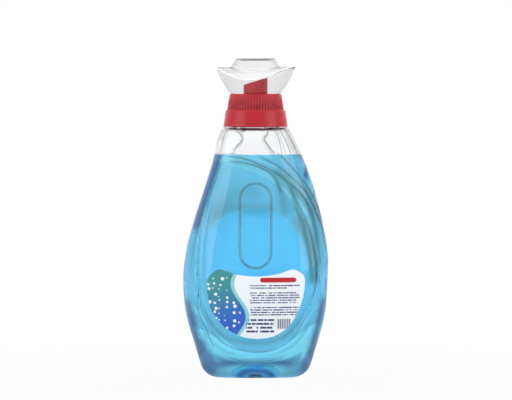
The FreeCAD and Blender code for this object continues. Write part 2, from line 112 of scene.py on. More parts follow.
def rounded_line(points: Sequence[Pair], closed: bool, finer: int = 12) -> Array:
    """Points along a smooth curve through a few corners.

    Args:
        points: The corners, as (across, up).
        closed: Whether the last corner joins the first.
        finer: Points made for each corner.

    Returns:
        An array of points along the curve.
    """
    corners = np.array(points, dtype=float)
    if closed:
        corners = np.vstack([corners[-2:], corners, corners[:3]])
    reach = way_along(corners)
    first, last = (reach[2], reach[-3]) if closed else (reach[0], reach[-1])
    at = np.linspace(first, last, finer * len(points))
    return np.stack([smooth_through(reach, values, at) for values in corners.T], axis=1)


def spaced(line: Array, steps: int) -> tuple[Array, Array]:
    """Both coordinates of evenly spaced points along a line."""
    reach = way_along(line)
    at = np.linspace(0.0, reach[-1], steps + 1)
    return np.interp(at, reach, line[:, 0]), np.interp(at, reach, line[:, 1])


def distance_to(line: Array, across: Array, up: Array) -> tuple[Array, Array]:
    """Distance from places to a line of points.

    Args:
        line: Points along the line.
        across: First coordinate of the places.
        up: Second coordinate of the places.

    Returns:
        The distance, and how far along the line its nearest point lies, 0 to 1.
    """
    start, step = line[:-1], np.diff(line, axis=0)
    offset = np.stack([across, up], axis=-1)[:, None, :] - start[None]
    share = np.clip((offset * step).sum(-1) / np.maximum((step**2).sum(-1), 1e-12), 0, 1)
    gap = np.linalg.norm(offset - share[..., None] * step, axis=-1)
    nearest = gap.argmin(axis=1)
    rows = np.arange(len(nearest))
    return gap[rows, nearest], (nearest + share[rows, nearest]) / len(step)


def inside_of(line: Array, across: Array, up: Array) -> Array:
    """Whether places lie inside a closed line of points."""
    start, end = line[:-1], line[1:]
    above = up[:, None] < np.maximum(start[:, 1], end[:, 1])
    below = up[:, None] >= np.minimum(start[:, 1], end[:, 1])
    rise = np.where(end[:, 1] == start[:, 1], 1e-9, end[:, 1] - start[:, 1])
    cross = start[:, 0] + (up[:, None] - start[:, 1]) * (end[:, 0] - start[:, 0]) / rise
    return ((above & below & (cross > across[:, None])).sum(axis=1) % 2) == 1


def superellipse(turn: Array, power: float, finer: int = 720) -> tuple[Array, Array]:
    """Points of a unit superellipse, spaced evenly along it.

    Args:
        turn: Angles from 0 to a full turn, read as shares of the way round.
        power: Squareness of the curve, 2 for an ellipse.
        finer: Steps used to measure the way round.

    Returns:
        The two coordinates of each point.
    """
    angles = np.linspace(0, TURN, finer + 1)
    parts = (np.cos(angles), np.sin(angles))
    across, back = (np.sign(part) * np.abs(part) ** (2 / power) for part in parts)
    way = np.concatenate([[0], np.cumsum(np.hypot(np.diff(across) * WIDTH_OVER_DEPTH, np.diff(back)))])
    at = turn / TURN * way[-1]
    return np.interp(at, way, across), np.interp(at, way, back)


def bulge(x: Array, reach: Array, power: Size) -> Array:
    """Depth of a superellipse at places across it, as a share of its half depth."""
    side = np.abs(np.clip(x / reach, -1, 1))
    return (1 - side**power) ** (1 / power)


# ------------------------------------------------------------ mesh builders
def around(turns: int) -> Array:
    """Angles of a ring's points, where the last one meets the first."""
    return np.linspace(0.0, TURN, turns + 1)


def ring(turn: Array, radius: Size, height: Size) -> Array:
    """Points round the axis at a radius and a height."""
    height = np.broadcast_to(height, turn.shape)
    return np.stack([radius * np.cos(turn), radius * np.sin(turn), height], axis=1)


def rings(turn: Array, profile: Sequence[Pair]) -> list[Array]:
    """Plain rings at the (radius, height) places of a profile."""
    return [ring(turn, radius, height) for radius, height in profile]


def stepped(corners: Sequence[tuple[float, float, int]]) -> list[Pair]:
    """Places along a profile, whose corners say how many steps lead to them."""
    places = [corners[0][:2]]
    for (r0, z0, _), (r1, z1, steps) in zip(corners, corners[1:]):
        places += [(r0 + (r1 - r0) * i / steps, z0 + (z1 - z0) * i / steps) for i in range(1, steps + 1)]
    return places


def lay_grid(bm: bmesh.types.BMesh, places: Array, painted_light_levels: Array | None = None) -> None:
    """Adds a grid of faces.

    Args:
        bm: Mesh that the grid is added to.
        places: Rows of points in mm.
        painted_light_levels: A number for each point's painted shade and highlight attribute, which
            finishes read.
    """
    rows, columns = len(places) - 1, len(places[0]) - 1
    layer = None if painted_light_levels is None else bm.verts.layers.float.new("tone")
    for vert in bmesh.ops.create_grid(bm, x_segments=columns, y_segments=rows, size=0.5)["verts"]:
        spot = round((vert.co.y + 0.5) * rows), round((vert.co.x + 0.5) * columns)
        vert.co = places[spot] * MM
        if layer is not None:
            vert[layer] = float(painted_light_levels[spot])


def added(name: str, data: bpy.types.ID) -> Thing:
    """New object in the scene."""
    thing = bpy.data.objects.new(name, data)
    bpy.context.scene.collection.objects.link(thing)
    return thing


def finished(name: str, bm: bmesh.types.BMesh, smooth: bool = True) -> Thing:
    """Object made of a bmesh, which is freed."""
    mesh = bpy.data.meshes.new(name)
    for face in bm.faces:
        face.smooth = smooth
    bm.to_mesh(mesh)
    bm.free()
    return added(name, mesh)


def welded(name: str, bm: bmesh.types.BMesh) -> Thing:
    """Object made of grids whose seams are joined, with its faces outwards."""
    bmesh.ops.remove_doubles(bm, verts=bm.verts, dist=MERGE)
    bmesh.ops.recalc_face_normals(bm, faces=bm.faces)
    return finished(name, bm)


def wrapped_mesh(name: str, rows: list[Array], painted_light_levels: list[Size] | None = None) -> Thing:
    """Closed mesh of rings.

    Args:
        name: Name of the piece.
        rows: Points of each ring in mm.
        painted_light_levels: A number, or one per point, for each ring's painted shade and highlight
            attribute.

    Returns:
        The new object, with its place in its mesh.
    """
    places = np.array(rows)
    places[:, -1] = places[:, 0]
    levels = np.array([np.broadcast_to(level, len(rows[0])) for level in painted_light_levels or [0.0] * len(rows)])
    levels[:, -1] = levels[:, 0]
    bm = bmesh.new()
    lay_grid(bm, places, levels)
    return welded(name, bm)


def sharpened(thing: Thing, degrees: float) -> Thing:
    """Marks edges sharper than an angle, so that they shade crisp."""
    thing.data.set_sharp_from_angle(angle=math.radians(degrees))
    return thing


# ----------------------------------------------------------------- finishes
@dataclass(frozen=True)
class Value:
    """Output of a node, with arithmetic that adds Math nodes."""

    graph: "Graph"
    socket: Socket

    def math(self, operation: str, *others: object) -> "Value":
        """Result of a Math node that starts from this output."""
        return self.graph.math(operation, self, *others)

    __add__ = partialmethod(math, "ADD")
    __sub__ = partialmethod(math, "SUBTRACT")
    __mul__ = partialmethod(math, "MULTIPLY")
    __truediv__ = partialmethod(math, "DIVIDE")

    def rise(self, low: float, high: float) -> "Value":
        """Smooth step from 0 at low to 1 at high, or down where high is lower."""
        return self.graph.value("MapRange", {0: self, 1: low, 2: high}, interpolation_type="SMOOTHSTEP")

    def band(self, low: float, high: float, soft: float = 0.08) -> "Value":
        """1 between two limits, with soft ends."""
        return self.rise(low - soft, low + soft) * self.rise(high + soft, high - soft)


class Graph:
    """Node tree of a material or the world, with short calls for its nodes."""

    def __init__(self, holder: bpy.types.ID, kind: str = "OutputMaterial") -> None:
        """Empties the holder's node tree, apart from an output."""
        self.holder = holder
        holder.use_nodes = True
        self.nodes = holder.node_tree.nodes
        self.links = holder.node_tree.links
        self.nodes.clear()
        self.output = self.add(kind)

    @classmethod
    def named(cls, name: str) -> "Graph":
        """Tree of a new material."""
        return cls(bpy.data.materials.new(name))

    def add(self, kind: str, inputs: Inputs | None = None, **settings: object) -> Node:
        """New node, with its own properties and its inputs set."""
        node = self.nodes.new(f"ShaderNode{kind}")
        for key, value in settings.items():
            setattr(node, key, value)
        for key, value in (inputs or {}).items():
            self.feed(node.inputs[key], value)
        return node

    def value(self, kind: str, inputs: Inputs, out: int | str = 0, **settings: object) -> Value:
        """Output of a new node."""
        return Value(self, self.add(kind, inputs, **settings).outputs[out])

    def feed(self, socket: Socket, value: object) -> None:
        """Sets a socket to a value, or links another socket to it."""
        if isinstance(value, Value):
            self.links.new(value.socket, socket)
        elif isinstance(value, Socket):
            self.links.new(value, socket)
        elif isinstance(value, tuple) and socket.type == "RGBA":
            socket.default_value = (*value, 1.0)
        else:
            socket.default_value = value

    def math(self, operation: str, *values: object) -> Value:
        """Result of a Math node."""
        return self.value("Math", dict(enumerate(values)), operation=operation)

    def blend(self, share: object, first: object, second: object) -> Value:
        """Colour between two colours."""
        return self.value("Mix", {0: share, 6: first, 7: second}, 2, data_type="RGBA", clamp_factor=True)

    def ramp(self, value: object, *stops: Pair) -> Value:
        """Grey level that follows (position, level) stops."""
        node = self.add("ValToRGB", {0: value})
        elements = node.color_ramp.elements
        while len(elements) < len(stops):
            elements.new(0.5)
        for element, (position, level) in zip(elements, stops):
            element.position = position
            element.color = (level, level, level, 1.0)
        return Value(self, node.outputs[0])

    def apart(self, vector: object) -> list[Value]:
        """X, Y and Z of a vector."""
        return [Value(self, socket) for socket in self.add("SeparateXYZ", {0: vector}).outputs]

    def place(self) -> list[Value]:
        """X, Y and Z of object coordinates in mm."""
        metres = self.value("TexCoord", {}, "Object")
        return self.apart(self.value("VectorMath", {0: metres, "Scale": 1 / MM}, operation="SCALE"))

    def noise(self, scale: float, detail: float) -> Value:
        """Noise on object coordinates, in lumps per metre."""
        place = self.value("TexCoord", {}, "Object")
        return self.value("TexNoise", {"Vector": place, "Scale": scale, "Detail": detail}, "Fac")

    def bump(self, height: object, strength: float, distance_mm: float) -> Value:
        """Normal bent by a height."""
        return self.value("Bump", {"Strength": strength, "Distance": distance_mm * MM, "Height": height})

    def mixed(self, share: object, first: Node, second: Node) -> Node:
        """Shader between two shaders."""
        return self.add("MixShader", {0: share, 1: first.outputs[0], 2: second.outputs[0]})

    def clear(self, colour: object, roughness: float, ior: float, shadow: Triple, **more: object) -> Node:
        """Clear shader that lets the lamps through, tinted."""
        surface = {"Base Color": colour, "Roughness": roughness, "IOR": ior, "Transmission Weight": 1.0}
        shader = self.add("BsdfPrincipled", surface | more)
        seen_by_lamps = self.value("LightPath", {}, "Is Shadow Ray")
        return self.mixed(seen_by_lamps, shader, self.add("BsdfTransparent", {"Color": shadow}))

    def finish(self, surface: Node) -> bpy.types.ID:
        """Links the surface and gives the holder."""
        self.feed(self.output.inputs["Surface"], surface.outputs[0])
        return self.holder


@dataclass(frozen=True)
class ClearPlastic:
    """Clear glossy plastic, such as a blown bottle or a moulded cup.

    A painted shade and highlight attribute leads its tint to the second colour, and below 0 to the third.
    """

    name: str
    tint: Triple
    second: Triple | None = None
    third: Triple | None = None
    roughness: float = 0.015
    ior: float = 1.47
    ripple: float = 0.02
    shadow_tint: Triple = (0.985, 0.988, 0.99)

    def material(self) -> bpy.types.Material:
        """Builds the material."""
        graph = Graph.named(self.name)
        colour = self.tint
        if self.second:
            # Painted shade and highlight, read from the mesh's attribute
            tone = graph.value("Attribute", {}, "Fac", attribute_name="tone")
            colour = graph.blend(tone, colour, self.second)
        if self.third:
            colour = graph.blend(tone * -1.0, colour, self.third)
        ripple = graph.bump(graph.noise(60.0, 1.0), self.ripple, 0.4)
        return graph.finish(graph.clear(colour, self.roughness, self.ior, self.shadow_tint, Normal=ripple))


@dataclass(frozen=True)
class TintedLiquid:
    """Clear coloured liquid that darkens with depth."""

    name: str
    film: Triple
    colour: Triple
    per_metre: float
    ior: float = 1.34
    shadow_tint: Triple = (0.97, 0.99, 1.0)

    def material(self) -> bpy.types.Material:
        """Builds the material."""
        graph = Graph.named(self.name)
        depth = graph.value("VolumeAbsorption", {"Color": self.colour, "Density": self.per_metre})
        graph.feed(graph.output.inputs["Volume"], depth)
        return graph.finish(graph.clear(self.film, 0.0, self.ior, self.shadow_tint))


@dataclass(frozen=True)
class MouldedPlastic:
    """Opaque moulded plastic with a fine mould grain, and painted shade in its grooves if it has any."""

    name: str
    colour: Triple
    shade: Triple
    grooves: int = 0
    groove_ends: Pair = (231.6, 247.0)
    groove_edges: Pair = (0.3, 0.1)
    groove_painted_shade: float = 0.35
    roughness: float = 0.3

    def material(self) -> bpy.types.Material:
        """Builds the material."""
        graph = Graph.named(self.name)
        colour = graph.blend(graph.noise(45.0, 2.0), self.colour, self.shade)
        if self.grooves:
            # Painted shade: the grooves take a darker copy of the shade colour.
            deep = tuple(self.groove_painted_shade * channel for channel in self.shade)
            colour = graph.blend(self.painted_groove_shade(graph), colour, deep)
        fine = graph.noise(900.0, 2.0)
        return graph.finish(graph.add("BsdfPrincipled", {
            "Base Color": colour,
            "Specular IOR Level": 0.28,
            "Roughness": graph.ramp(fine, (0.0, self.roughness - 0.04), (1.0, self.roughness + 0.06)),
            "Normal": graph.bump(fine, 0.05, 0.05),
            "Subsurface Weight": 0.05,
            "Subsurface Radius": (0.8, 0.15, 0.1),
            "Subsurface Scale": 0.002,
        }))

    def painted_groove_shade(self, graph: Graph) -> Value:
        """How deep in a groove of the ribbed band a place lies, 0 to 1: the share of painted shade there.
        """
        x, y, z = graph.place()
        foot, head = self.groove_ends
        turn = y.math("ARCTAN2", x) / TURN
        phase = turn.math("MULTIPLY_ADD", self.grooves, self.grooves).math("FRACT")
        across = (phase - 0.5).math("ABSOLUTE").rise(*self.groove_edges)
        return across * (z.rise(head, foot) * z.rise(foot, foot + 0.5))


class Motif(Enum):
    """Which plain print a film carries."""

    WAVES = "waves and columns of lines"
    BUBBLES = "rising bubbles over a blank banner"


class Side(Enum):
    """Side of the bottle that a panel faces, as the sign of Y."""

    BACK = -1
    FRONT = 1


@dataclass(frozen=True)
class Artwork:
    """Plain print of a label, drawn over its places across and up in mm."""

    graph: Graph
    x: Value
    z: Value
    white: Triple = (0.915, 0.905, 0.93)
    foam: Triple = (0.9, 0.94, 0.95)
    navy: Triple = (0.03, 0.035, 0.19)
    teal: Triple = (0.05, 0.33, 0.34)
    aqua: Triple = (0.32, 0.66, 0.72)
    blue: Triple = (0.03, 0.15, 0.62)
    red: Triple = (0.55, 0.012, 0.02)
    far_off: float = -60.0
    deep_down: float = -80.0
    bar_pitch: float = 1.9
    thick_bar: Pair = (0.1, 0.5)
    thin_bar: Pair = (0.68, 0.84)

    def waves(self) -> Value:
        """Wave field on the left, a blank banner and columns of blind lines."""
        graph, x, z = self.graph, self.x, self.z
        shore = ((z - 40.0) / 9.0).math("SINE").math("MULTIPLY_ADD", 6.5, -15.0)
        away = x - shore
        field_colour = graph.blend(x.math("MULTIPLY_ADD", -0.35, z).rise(52.0, 96.0), self.blue, self.teal)
        colour = graph.blend(away.band(self.far_off, 3.2, 0.15), self.white, self.aqua)
        colour = graph.blend(away.band(self.far_off, 0.0, 0.15), colour, field_colour)
        colour = graph.blend(self.dots(5.4) * away.band(self.far_off, -4.0, 0.2), colour, self.foam)
        colour = graph.blend(self.banner((19.5, 85.6), 13.5, 2.1), colour, self.red)
        lines = self.blind_lines(2.1) * self.block((-4.5, 38.5), (54.6, 82.0)) * self.ragged(2.1, 38.0)
        bold = self.blind_lines(3.3) * self.block((-8.0, 16.0), (39.6, 52.8))
        bars = self.bars() * self.block((18.5, 30.0), (43.6, 52.0))
        return graph.blend(lines.math("MAXIMUM", bold).math("MAXIMUM", bars), colour, self.navy)

    def bubbles(self) -> Value:
        """Sea that fades upwards, with bubbles, a swell and a blank banner."""
        graph, x, z = self.graph, self.x, self.z
        over = z - (x / 15.0).math("SINE").math("MULTIPLY_ADD", 7.0, 66.0)
        sea = graph.blend(z.rise(32.0, 66.0), self.blue, self.teal)
        sky = graph.blend(z.rise(62.0, 110.0), self.aqua, self.white)
        colour = graph.blend(over.band(self.deep_down, 0.0, 0.2), sky, sea)
        colour = graph.blend(over.band(0.0, 2.6, 0.2), colour, self.white)
        colour = graph.blend(self.dots(8.0) * 0.85, colour, self.foam)
        for radius, ink in ((8.4, self.white), (7.4, self.red)):
            colour = graph.blend(self.banner((2.0, 100.0), 22.0, radius), colour, ink)
        lines = self.blind_lines(3.0) * self.block((-14.0, 18.0), (44.0, 55.6))
        return graph.blend(lines, colour, self.white)

    def block(self, across: Pair, up: Pair) -> Value:
        """1 inside an upright oblong."""
        return self.x.band(*across) * self.z.band(*up)

    def banner(self, centre: Pair, reach: float, radius: float) -> Value:
        """1 inside a level bar with round ends."""
        aside = ((self.x - centre[0]).math("ABSOLUTE") - reach).math("MAXIMUM", 0.0)
        above = self.z - centre[1]
        return (aside * aside + above * above).math("SQRT").band(-1.0, radius, 0.12)

    def spot(self, across: Value, up: Value) -> Value:
        """Place on the print for a texture."""
        return self.graph.value("CombineXYZ", {0: across, 1: up})

    def dots(self, pitch: float) -> Value:
        """Loose round dots of mixed sizes."""
        inputs = {"Vector": self.spot(self.x, self.z), "Scale": 1 / pitch, "Randomness": 0.75}
        cells = self.graph.add("TexVoronoi", inputs, voronoi_dimensions="2D")
        size = self.graph.apart(cells.outputs["Color"])[0]
        return (size.math("MULTIPLY_ADD", 0.22, 0.06) - cells.outputs["Distance"]).rise(-0.02, 0.02)

    def blind_lines(self, pitch: float) -> Value:
        """Level lines broken into dashes that say nothing."""
        row = self.z / pitch
        spot = self.spot(self.x / pitch, row.math("FLOOR") * 7.3)
        shares = []
        for scale, low, high in ((0.5, 0.2, 0.26), (2.6, 0.29, 0.4)):
            inputs = {"Vector": spot, "Scale": scale, "Detail": 0.0}
            grain = self.graph.value("TexNoise", inputs, "Fac", noise_dimensions="2D")
            shares.append(grain.rise(low, high))
        return row.math("FRACT").band(0.25, 0.75, 0.06) * (shares[0] * shares[1])

    def ragged(self, pitch: float, end: float) -> Value:
        """1 up to each line's own end, with a blank line between paragraphs."""
        row = (self.z / pitch).math("FLOOR")
        chance = self.graph.value("TexWhiteNoise", {"W": row}, "Value", noise_dimensions="1D")
        limit = chance.math("POWER", 4.0).math("MULTIPLY_ADD", -0.5 * end, end)
        kept = (row / 6.0).math("FRACT").math("GREATER_THAN", 0.1)
        return kept * (limit - self.x).rise(-0.1, 0.1)

    def bars(self) -> Value:
        """Even upright bars, thick and thin by turns."""
        phase = (self.x / self.bar_pitch).math("FRACT")
        return phase.band(*self.thick_bar, 0.05).math("MAXIMUM", phase.band(*self.thin_bar, 0.05))


@dataclass(frozen=True)
class PrintedFilm:
    """White label film with a plain print on its outer face only."""

    name: str
    motif: Motif
    side: Side

    def material(self) -> bpy.types.Material:
        """Builds the material."""
        graph = Graph.named(self.name)
        x, _, z = graph.place()
        art = Artwork(graph, x, z)
        colour = art.waves() if self.motif is Motif.WAVES else art.bubbles()
        facing = graph.apart(graph.value("TexCoord", {}, "Normal"))[1]
        outside = (facing * float(self.side.value)).rise(0.1, 0.3)
        fine = graph.noise(700.0, 2.0)
        return graph.finish(graph.add("BsdfPrincipled", {
            "Base Color": graph.blend(outside, art.white, colour),
            "Roughness": graph.ramp(fine, (0.0, 0.3), (1.0, 0.42)),
            "Normal": graph.bump(fine, 0.04, 0.04),
            "Subsurface Weight": 0.9,
            "Subsurface Radius": (1.0, 1.0, 1.0),
            "Subsurface Scale": 0.00025,
        }))


# --------------------------------------------------------------- the bottle
@dataclass(frozen=True)
class Stroke:
    """Soft stroke along a curve on the skin: a fold, a band of painted shade or a raised line.

    Its strength is the depth of a fold, the darkness of painted shade or the height of a raised line.
    """

    strength: float
    width: float
    points: Sequence[Pair]

    def at(self, x: Array, z: Array, ends: float) -> Array:
        """Strength at given places, faded over a share of the stroke at each end."""
        gap, along = distance_to(rounded_line(self.points, closed=False), x, z)
        fade = smooth_step(0.0, ends, along) * smooth_step(0.0, ends, 1 - along)
        return self.strength * fade * np.exp(-((gap / self.width) ** 2))


# Rows of strength, width and the corners of the curve as (across, up).
FOLDS = (
    (0.25, 2.0, (-24, 197), (-4.9, 191.5), (13.5, 185.8), (27.6, 176.3), (41.6, 158.7), (52.1, 134.2),
     (58, 108), (60.5, 82)),
    (0.6, 2.2, (10, 219), (7.6, 207.3), (13, 198)),
    (-0.5, 2.2, (17, 219), (19.5, 206), (22.5, 197)),
    (0.5, 1.7, (24, 218), (27.5, 207), (30, 198)),
    (0.7, 1.8, (-24, 218), (-10, 207.5), (-15.5, 199)),
    (-0.6, 1.8, (-22.3, 218), (-28.6, 207.3), (-31, 198)),
    (0.6, 2.6, (-54, 48), (-46, 33), (-30, 20.5), (-2.3, 14.6), (28.2, 18), (44, 30), (53, 46)),
)
# Bands of painted shade on the wall, grey and below 0 dark blue, standing in for the shade that refraction
# casts in the detergent.
PAINTED_SHADE_STREAKS = (
    (0.45, 1.2, (-23, 218), (-29.5, 210.5), (-32.8, 203), (-34.5, 192)),
    (0.6, 1.2, (-23, 217), (-11.5, 209.5), (-12, 204), (-19, 197), (-21, 190)),
    (0.5, 1.2, (-27.5, 211), (-29, 203), (-29.8, 190)),
    (0.55, 1.7, (8.5, 219), (10.6, 212), (7, 206.5), (10.6, 200.5), (17, 190)),
    (0.5, 1.3, (17, 219), (21.5, 206.8), (28.5, 189)),
    (0.35, 1.3, (23, 219), (28.9, 204.4), (37.5, 188)),
    (0.3, 1.2, (26, 218), (32.6, 204.4), (40, 188)),
    (0.8, 1.4, (-30, 193), (-22.8, 191.7), (-10.8, 189.9), (1.2, 185.6), (10.7, 181.2), (20.9, 175.1),
     (31.2, 167.3), (40.7, 157.7), (47.5, 146.4), (51.8, 134.2)),
    (0.8, 1.4, (-27, 188), (-21.1, 187.3), (-8.2, 185.6), (5.5, 181.2), (14.1, 176), (19.2, 168.2),
     (21.8, 157)),
    (0.6, 1.3, (-4, 195), (5.5, 190.8), (16.6, 184.7), (29.5, 175.1), (42.4, 162.1), (50.1, 148.2),
     (56.5, 127)),
    (0.65, 1.4, (16, 197), (20.9, 192.5), (28.7, 185.6), (37.2, 176), (45.8, 163.8), (52.7, 150.8),
     (58.5, 131)),
    (-0.5, 1.7, (26, 197), (30.4, 186.4), (36.4, 178), (41, 170)),
    (0.6, 1.2, (34, 178), (40.5, 167), (49.5, 151.4), (57, 131.6), (61, 106)),
    (1.1, 3.0, (23, 180), (29, 168), (33.5, 156), (36.4, 144.7), (39.5, 135), (43, 124)),
    (1.3, 5.2, (37, 144), (41, 131), (45, 120), (48, 108), (49.8, 97), (50.8, 87), (50.5, 77)),
    (1.0, 2.2, (27, 173), (36.4, 162), (41.5, 153.4), (46.7, 144.7), (50.3, 134), (52.5, 122), (53.5, 108),
     (53.6, 92)),
    (0.35, 6.5, (-38, 136), (-31.4, 149.5), (-23.7, 156.5), (-13.4, 160.5), (-3.1, 160.5), (7, 154)),
    (0.55, 5.5, (-41, 126), (-30.5, 142), (-20.2, 147.2), (-8.2, 146.3), (5.5, 145.5), (20, 147)),
    (0.65, 4.4, (16.5, 183), (20.9, 169.1), (22.7, 158.6), (24.4, 146.4), (27, 137)),
    (-1.4, 3.8, (-24, 208), (-31.8, 192.5), (-35.2, 183), (-38.9, 172.5), (-43.1, 160.3), (-47.4, 147.3),
     (-51, 134.2), (-54, 122)),
    (0.65, 2.2, (-47, 66), (-37.8, 47), (-27.3, 37.6), (-13.4, 32.6), (0.3, 31), (14.1, 32.6), (27, 38.4),
     (36, 48), (43, 64)),
    (0.6, 1.3, (-52, 57), (-48.6, 47.2), (-39.1, 33.3), (-25.4, 23.8), (-10, 19.4), (5.5, 19.4),
     (20.9, 22.9), (34.7, 31.6), (45, 44.6), (49, 56)),
    (0.5, 1.3, (-42, 24), (-22, 17.5), (0, 15.2), (22, 17.5), (42, 24)),
    (-1.1, 5.0, (-60.5, 76), (-56, 52), (-50, 29), (-44.6, 15.9), (-40, -4)),
    (-1.15, 3.7, (60.5, 76), (55.4, 50), (50.6, 31.6), (46.5, 17), (42.5, 0)),
    (-0.3, 3.5, (-38, 9), (-16, 15), (0, 15.5), (16, 15), (38, 9)),
    (-0.5, 4.5, (-47, 36), (-42.5, 24), (-39, 12), (-37, 4)),
)
RAISED_LINES = (
    (0.4, 1.3, (-27, 191.5), (-10.8, 189.9), (1.2, 185.6), (10.7, 181.2), (20.9, 175.1), (31.2, 167.3),
     (40.7, 157.7), (47.5, 146.4), (51.8, 134.2), (54.5, 118)),
    (0.35, 1.2, (-24, 187.6), (-8.2, 185.6), (5.5, 181.2), (14.1, 176), (19.2, 168.2), (21.5, 160)),
    (0.35, 1.1, (0, 193), (5.5, 190.8), (16.6, 184.7), (29.5, 175.1), (42.4, 162.1), (50.1, 148.2),
     (56.5, 127)),
    (0.4, 1.2, (18, 195.5), (28.7, 185.6), (37.2, 176), (45.8, 163.8), (52.7, 150.8), (58.5, 131)),
    (0.35, 1.1, (25.7, 171), (35.5, 153.4), (43.2, 137.7), (47.9, 124), (51, 106), (51.6, 84)),
    (0.3, 1.0, (34, 179), (41, 167), (49.8, 151.4), (57.2, 131.6), (60.6, 110)),
    (0.25, 0.9, (-28, 189), (-35, 171), (-42, 153.4), (-48.2, 134.2), (-53.3, 114.2), (-56, 94)),
    (0.35, 1.1, (-43.4, 52), (-35.7, 38.5), (-23.7, 29), (-10, 24.6), (0.3, 23.8), (12.4, 24.6),
     (26.1, 30.7), (36.4, 41.2), (43.4, 55)),
    (0.3, 1.0, (-51.5, 68), (-47.4, 52.5), (-40.5, 37.7), (-36, 26)),
    (0.3, 1.1, (-28, 20.4), (-12, 15.8), (0, 14.8), (12, 15.8), (28, 20.4)),
    (0.2, 0.8, (-22, 217), (-26.5, 211.5), (-28.6, 203), (-30.6, 192)),
    (0.25, 0.9, (-22.5, 214), (-12.4, 210), (-11, 207), (-16.4, 200), (-18.9, 191)),
    (0.25, 0.9, (9, 217.5), (10.6, 211.8), (7.5, 206.8), (10.5, 201.8), (18, 192.5)),
    (0.2, 0.8, (14, 217.5), (19.1, 209.3), (21.2, 201.8), (23, 190)),
    (0.2, 0.8, (18.5, 217.5), (25.2, 206.8), (31, 190)),
    (0.2, 0.8, (24.5, 217), (31.6, 204), (37, 192.5)),
)


def strokes(table: Sequence[tuple]) -> list[Stroke]:
    """Strokes of a table's rows."""
    return [Stroke(strength, width, points) for strength, width, *points in table]


